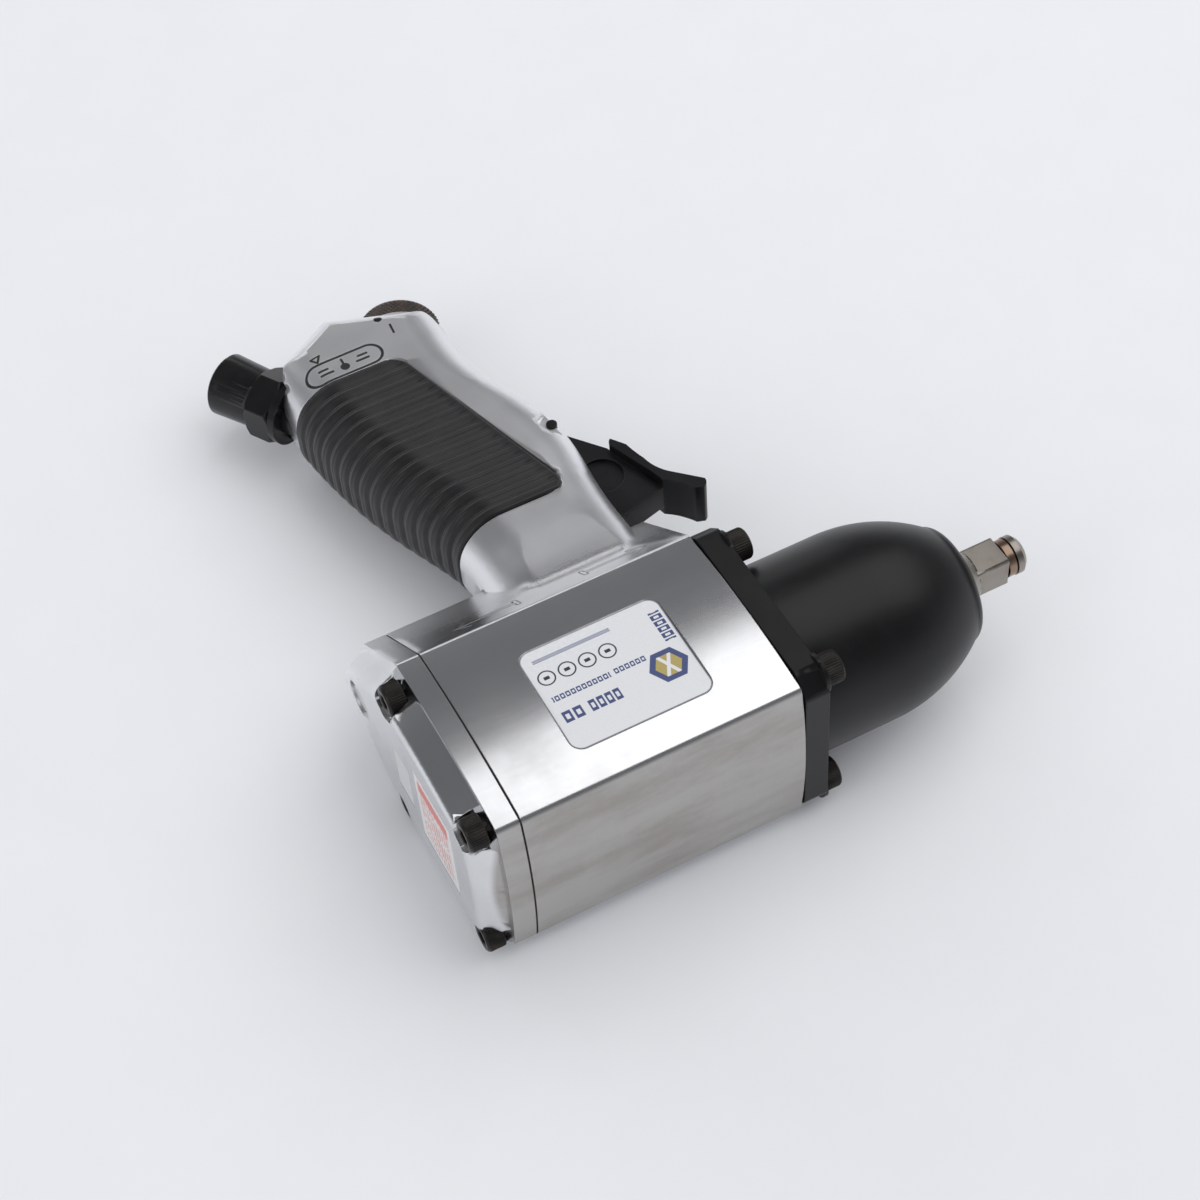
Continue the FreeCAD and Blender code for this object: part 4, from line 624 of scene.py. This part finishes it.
def ribbedGrip():
    # The sleeve runs round the back of the handle. Its line at each depth is a rounded rectangle without its
    # front: straight sides at +-half, corners of radius r, a short straight rear. Each point moves out along
    # the line's normal by proud - ribHeight * (1 - |sin(pi * rib)| ^ 0.7), less a roll at the rim.
    g = gripShape
    low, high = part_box("rubber_grip")
    depth = np.linspace(low.y + 0.05 * mm, high.y - 0.05 * mm, g["rows"]) / mm
    across = (depth - depth[0]) / (depth[-1] - depth[0])
    rear = np.polyval(np.polyfit(g["depths"], g["rears"], 5), depth)
    front = g["frontTop"] + (g["frontBottom"] - g["frontTop"]) * across
    ends = np.minimum(depth - depth[0], depth[-1] - depth)
    short = np.maximum(g["corner"] - ends, 0)
    front = front - (g["corner"] - np.sqrt(np.maximum(g["corner"] ** 2 - short ** 2, 0)))
    radius = g["half"] * g["cornerShare"]
    side = np.linspace(0, 1, g["sideColumns"], endpoint=False)
    turn = np.linspace(0, math.pi / 2, g["cornerColumns"], endpoint=False)
    back = np.linspace(0, 1, g["rearColumns"])
    flat, zero = np.zeros(len(side)), np.zeros(len(back))
    # along the left half of the line: share of the straight side left, then x and z off the corner's centre
    run = np.concatenate([1 - side, np.zeros(len(turn) + len(back))])
    offX = np.concatenate([flat, -radius * np.sin(turn), zero - radius])
    offZ = np.concatenate([flat + radius, radius * np.cos(turn), zero])
    drop = np.concatenate([flat, np.zeros(len(turn)), back]) * (g["half"] - radius)
    normalX = np.concatenate([flat, -np.sin(turn), zero - 1])
    normalZ = np.concatenate([flat + 1, np.cos(turn), zero])
    straight = front - rear - radius
    x = rear[None] + radius + run[:, None] * straight[None] + offX[:, None]
    z = (g["half"] - radius - drop + offZ)[:, None] + 0 * depth[None]
    behind = np.concatenate([flat, turn / (math.pi / 2), zero + 1])[:, None]
    rib = np.abs(np.sin(math.pi * across * g["ribs"]))[None]
    lines = np.sin(math.pi * across * g["ribs"] * 6)[None]
    toFront = run[:, None] * straight[None]
    rim = np.minimum(ends[None] + 0 * toFront, (front - rear)[None] - radius - toFront + 100 * behind)
    fade = np.clip((rim - 0.8) / 2.4, 0, 1)
    height = g["ribHeight"] + (g["rearHeight"] - g["ribHeight"]) * behind
    roll = np.clip(1 - rim / g["rollIn"], 0, 1)
    out = g["proud"] - fade * height * (1 - rib ** 0.7) - fade * g["lineHeight"] * (1 + lines)
    out = out - 1.9 * (1 - np.sqrt(np.maximum(1 - roll ** 2, 0)))
    left = np.stack([x + out * normalX[:, None], depth[None] + 0 * x, z + out * normalZ[:, None]], axis=-1)
    right = left[::-1][1:] * (1, 1, -1)
    points = np.concatenate([left, right]) * mm
    points[..., 0] += seamX
    mesh = tidyMesh(gridMesh("ribbedGrip", points, False), 180)
    return mesh


gripMesh = ribbedGrip()
if gripMesh.polygons[0].normal.z < 0:
    gripMesh.flip_normals()
grip = place("ribbedGrip", gripMesh, "housing", "grip_rubber", ["rubber_grip"])
shell = grip.modifiers.new("wall", "SOLIDIFY")
shell.thickness = 0.9 * mm
shell.offset = -1
print("grip made:", len(gripMesh.polygons), "faces")


def turnedPiece(profile, columns, wobble):
    # A profile of (distance along, radius) carried round the axis: point = (t, r cos a, r sin a).
    # wobble(a, t, r) gives the radius where the surface isn't round.
    profile = np.array(profile, float)
    angle = np.arange(columns) * (2 * math.pi / columns)
    t, r = profile[None, :, 0] + 0 * angle[:, None], profile[None, :, 1] + 0 * angle[:, None]
    r = wobble(angle[:, None], t, r)
    return np.stack([t, r * np.cos(angle)[:, None], r * np.sin(angle)[:, None]], axis=-1)


def intoPlace(points, along, origin):
    # turns the X axis of the points to lie along a direction, and moves them to the origin point
    along = Vector(along).normalized()
    side = Vector((0, 0, 1))
    third = side.cross(along)
    basis = np.array([along, third, side])
    return points @ basis + np.array(origin)


knobShape = {
    "radius": 11.9, "height": 9.0, "stemRadius": 5.5, "stemLength": 16.0,
    "knurls": 54, "steps": 6, "depth": 0.5, "bandStart": -8.3, "bandEnd": -0.8,
}


def knurledKnob():
    # Diamond knurl: with p and q the two helix phases n a / 2pi +- t / pitch, the radius falls by
    # depth * max(tri(p), tri(q)), tri being the distance from the nearest whole number, doubled.
    k = knobShape
    pitch = 2 * math.pi * k["radius"] / k["knurls"]
    rows = round((k["bandEnd"] - k["bandStart"]) / pitch * k["steps"])
    band = np.linspace(k["bandStart"], k["bandStart"] + rows * pitch / k["steps"], rows + 1)
    bottom, stemEnd = -k["height"], -k["height"] - k["stemLength"]
    rim = k["radius"] - 0.15
    profile = [(stemEnd, 0), (stemEnd, k["stemRadius"] - 0.6), (stemEnd + 0.6, k["stemRadius"]),
               (bottom, k["stemRadius"]), (bottom, rim - 0.9), (bottom + 0.15, rim - 0.5),
               (k["bandStart"] - 0.01, k["radius"] - k["depth"])]
    profile += [(t, k["radius"]) for t in band]
    profile += [(band[-1] + 0.01, k["radius"] - k["depth"]), (-0.15, rim - 0.6), (0, rim - 1.0),
                (0, rim - 2.2), (-0.9, rim - 2.9), (-0.9, 2.6), (-0.5, 2.2), (-0.5, 0)]

    def knurl(angle, t, r):
        turnPhase = angle * k["knurls"] / (2 * math.pi)
        p, q = turnPhase + (t - k["bandStart"]) / pitch, turnPhase - (t - k["bandStart"]) / pitch
        tri = [2 * np.abs(s - np.round(s)) for s in (p, q)]
        onBand = (t >= k["bandStart"] - 1e-6) & (t <= band[-1] + 1e-6) & (r > k["radius"] - 0.01)
        return np.where(onBand, r - k["depth"] * np.maximum(*tri), r)

    points = turnedPiece(profile, k["knurls"] * k["steps"], knurl) * mm
    joint = next(j for j in frame["joints"] if j["name"] == "regulator_turn")
    mesh = gridMesh("knurledKnob", intoPlace(points, joint["axis"], joint["pos_m"]), True)
    return tidyMesh(mesh, 35)


place("knurledKnob", knurledKnob(), "regulator", "knob_black", ["regulator_knob"])
print("knob made")


screwShape = {
    "headRadius": 4.25, "headHeight": 5.0, "shankRadius": 2.4, "grip": 16.0, "offset": 22.3,
    "keyAcross": 4.0, "keyDepth": 2.5, "flutes": 40, "steps": 4, "fluteDepth": 0.16,
}


def socketScrews(name, nodeName, facing):
    # Head with straight flutes: radius = headRadius - fluteDepth * (0.5 - 0.5 cos(flutes * a)).
    # The key recess is a hexagon: radius = flat / cos(a folded to within 30 degrees of a flat).
    s = screwShape
    low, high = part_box(nodeName)
    height, radius = s["headHeight"], s["headRadius"]
    seat = (high.x - height * mm if facing > 0 else low.x + height * mm) / mm
    key, floor = s["keyAcross"] / 2, height - s["keyDepth"]
    profile = [(-s["grip"], 0), (-s["grip"], s["shankRadius"] - 0.4), (-s["grip"] + 0.4, s["shankRadius"]),
               (0, s["shankRadius"]), (0, radius - 0.35), (0.3, radius), (0.35, radius), (2.2, radius),
               (height - 0.75, radius), (height - 0.7, radius - 0.05), (height - 0.3, radius - 0.25),
               (height, radius - 0.7), (height, 3.2), (height - 0.02, key + 0.25), (height - 0.22, key),
               (floor, key), (floor, key * 0.5), (floor - 0.3, 0)]

    def shape(angle, t, r):
        fluted = (t > 0.29) & (t < height - 0.71) & (r > radius - 0.01)
        r = np.where(fluted, r - s["fluteDepth"] * (0.5 - 0.5 * np.cos(angle * s["flutes"])), r)
        folded = (angle + math.pi / 6) % (math.pi / 3) - math.pi / 6
        socket = (t > 0) & (r < key + 0.3) & (r > key * 0.4)
        return np.where(socket, r / np.cos(folded), r)

    points = turnedPiece(profile, s["flutes"] * s["steps"], shape)
    everyScrew = []
    for y in (s["offset"], -s["offset"]):
        for z in (s["offset"], -s["offset"]):
            everyScrew.append(points * (facing, 1, 1) + (seat, y, z))
    count = len(everyScrew)
    meshes = [gridMesh(name, one * mm, True) for one in everyScrew]
    work = bmesh.new()
    for mesh in meshes:
        work.from_mesh(mesh)
    merged = meshes[0]
    work.to_mesh(merged)
    work.free()
    for mesh in meshes[1:]:
        bpy.data.meshes.remove(mesh)
    place(name, tidyMesh(merged, 40), "housing", "black_screw", [nodeName])
    print(name, "made:", count)


socketScrews("capScrews", "rear_cap_screws", -1)
socketScrews("caseScrews", "hammer_case_screws", 1)


stageLook = {
    "floorColour": (0.80, 0.808, 0.825), "floorSize": 9.0, "slope": 0.0778, "touch": (26.5, -26.65),
    "worldCamera": (0.80, 0.808, 0.825), "worldLight": (0.66, 0.67, 0.695),
    "worldGloss": (0.13, 0.132, 0.138), "horizonGloss": (0.42, 0.425, 0.44), "horizon": (-0.05, 0.45),
}


def makeFloor():
    # plane through the flange's lower corner that rises towards the foot of the handle
    look = stageLook
    y, z = look["touch"][0] * mm, look["touch"][1] * mm
    size, slope = look["floorSize"], look["slope"]
    corners = [(x, yy, z + (yy - y) * slope - 0.0001) for x, yy in
               ((-size, -size), (size, -size), (size, size), (-size, size))]
    mesh = bpy.data.meshes.new("studioFloor")
    mesh.from_pydata(corners, [], [(0, 1, 2, 3)])
    floor = bpy.data.objects.new("studioFloor", mesh)
    bpy.context.scene.collection.objects.link(floor)
    f = Finish("studioPaper", Roughness=0.75, Specular_IOR_Level=0.2)
    fibre = f.noise(40, 3.0, 0.6)
    base = f.between(fibre.rise(0.3, 0.8), look["floorColour"], tuple(c * 0.985 for c in look["floorColour"]))
    mesh.materials.append(f.feed(Base_Color=base))


def softLight(name, at, aim, size, power):
    data = bpy.data.lights.new(name, "AREA")
    data.shape = "RECTANGLE"
    data.size, data.size_y = size
    data.energy = power
    lamp = bpy.data.objects.new(name, data)
    bpy.context.scene.collection.objects.link(lamp)
    direction = Vector(aim) - Vector(at)
    lamp.matrix_world = Matrix.Translation(at) @ direction.to_track_quat("-Z", "Y").to_matrix().to_4x4()


def makeWorld():
    # pale to the camera, dim in reflections so that the soft lights shape the metal
    world = bpy.data.worlds.new("studio")
    bpy.context.scene.world = world
    world.use_nodes = True
    tree = world.node_tree
    back = tree.nodes["Background"]
    path = tree.nodes.new("ShaderNodeLightPath")
    look = stageLook
    glossy = Wire(tree, path.outputs["Is Glossy Ray"])
    camera = Wire(tree, path.outputs["Is Camera Ray"])
    direction = addNode(tree, "ShaderNodeTexCoord", {}, {}, "Generated")
    height = Wire(tree, addNode(tree, "ShaderNodeSeparateXYZ", {}, {0: direction}).socket.node.outputs["Z"])
    reflected = mixColours(tree, height.rise(*look["horizon"]), look["horizonGloss"], look["worldGloss"])
    colour = mixColours(tree, glossy, look["worldLight"], reflected)
    colour = mixColours(tree, camera, colour, look["worldCamera"])
    tree.links.new(colour.socket, back.inputs["Color"])
    back.inputs["Strength"].default_value = 1.0


cameraPlace = {
    "eye": (-245.38, -323.51, 492.85), "target": (-81.39, 53.47, -17.33), "roll": -5.23, "lens": 73.0,
    "sensor": 36.0, "clipStart": 0.05,
}


def makeCamera():
    data = bpy.data.cameras.new("camera")
    data.lens = cameraPlace["lens"]
    data.sensor_width = cameraPlace["sensor"]
    data.clip_start = cameraPlace["clipStart"]
    camera = bpy.data.objects.new("camera", data)
    bpy.context.scene.collection.objects.link(camera)
    eye, target = Vector(cameraPlace["eye"]) * mm, Vector(cameraPlace["target"]) * mm
    backward = (eye - target).normalized()
    right = Vector((0, 0, 1)).cross(backward).normalized()
    up = backward.cross(right)
    turn = math.radians(cameraPlace["roll"])
    right, up = right * math.cos(turn) + up * math.sin(turn), up * math.cos(turn) - right * math.sin(turn)
    camera.matrix_world = Matrix.Translation(eye) @ Matrix((right, up, backward)).transposed().to_4x4()
    bpy.context.scene.camera = camera


makeFloor()
makeWorld()
makeCamera()
softLights = {  # place, aim, size, watts
    "overhead": ((0.70, 0.05, 1.35), (-0.08, 0.03, 0), (1.7, 1.5), 10.5),
    "leftFill": ((-1.2, -0.2, 0.8), (-0.08, 0.03, 0), (0.7, 1.0), 2.6),
    "rim": ((-0.2, 1.3, 0.55), (-0.08, 0.05, 0), (1.4, 0.3), 1.6),
}
for name, values in softLights.items():
    softLight(name, *values)
scene = bpy.context.scene
scene.view_settings.view_transform = "Standard"
print("studio made")
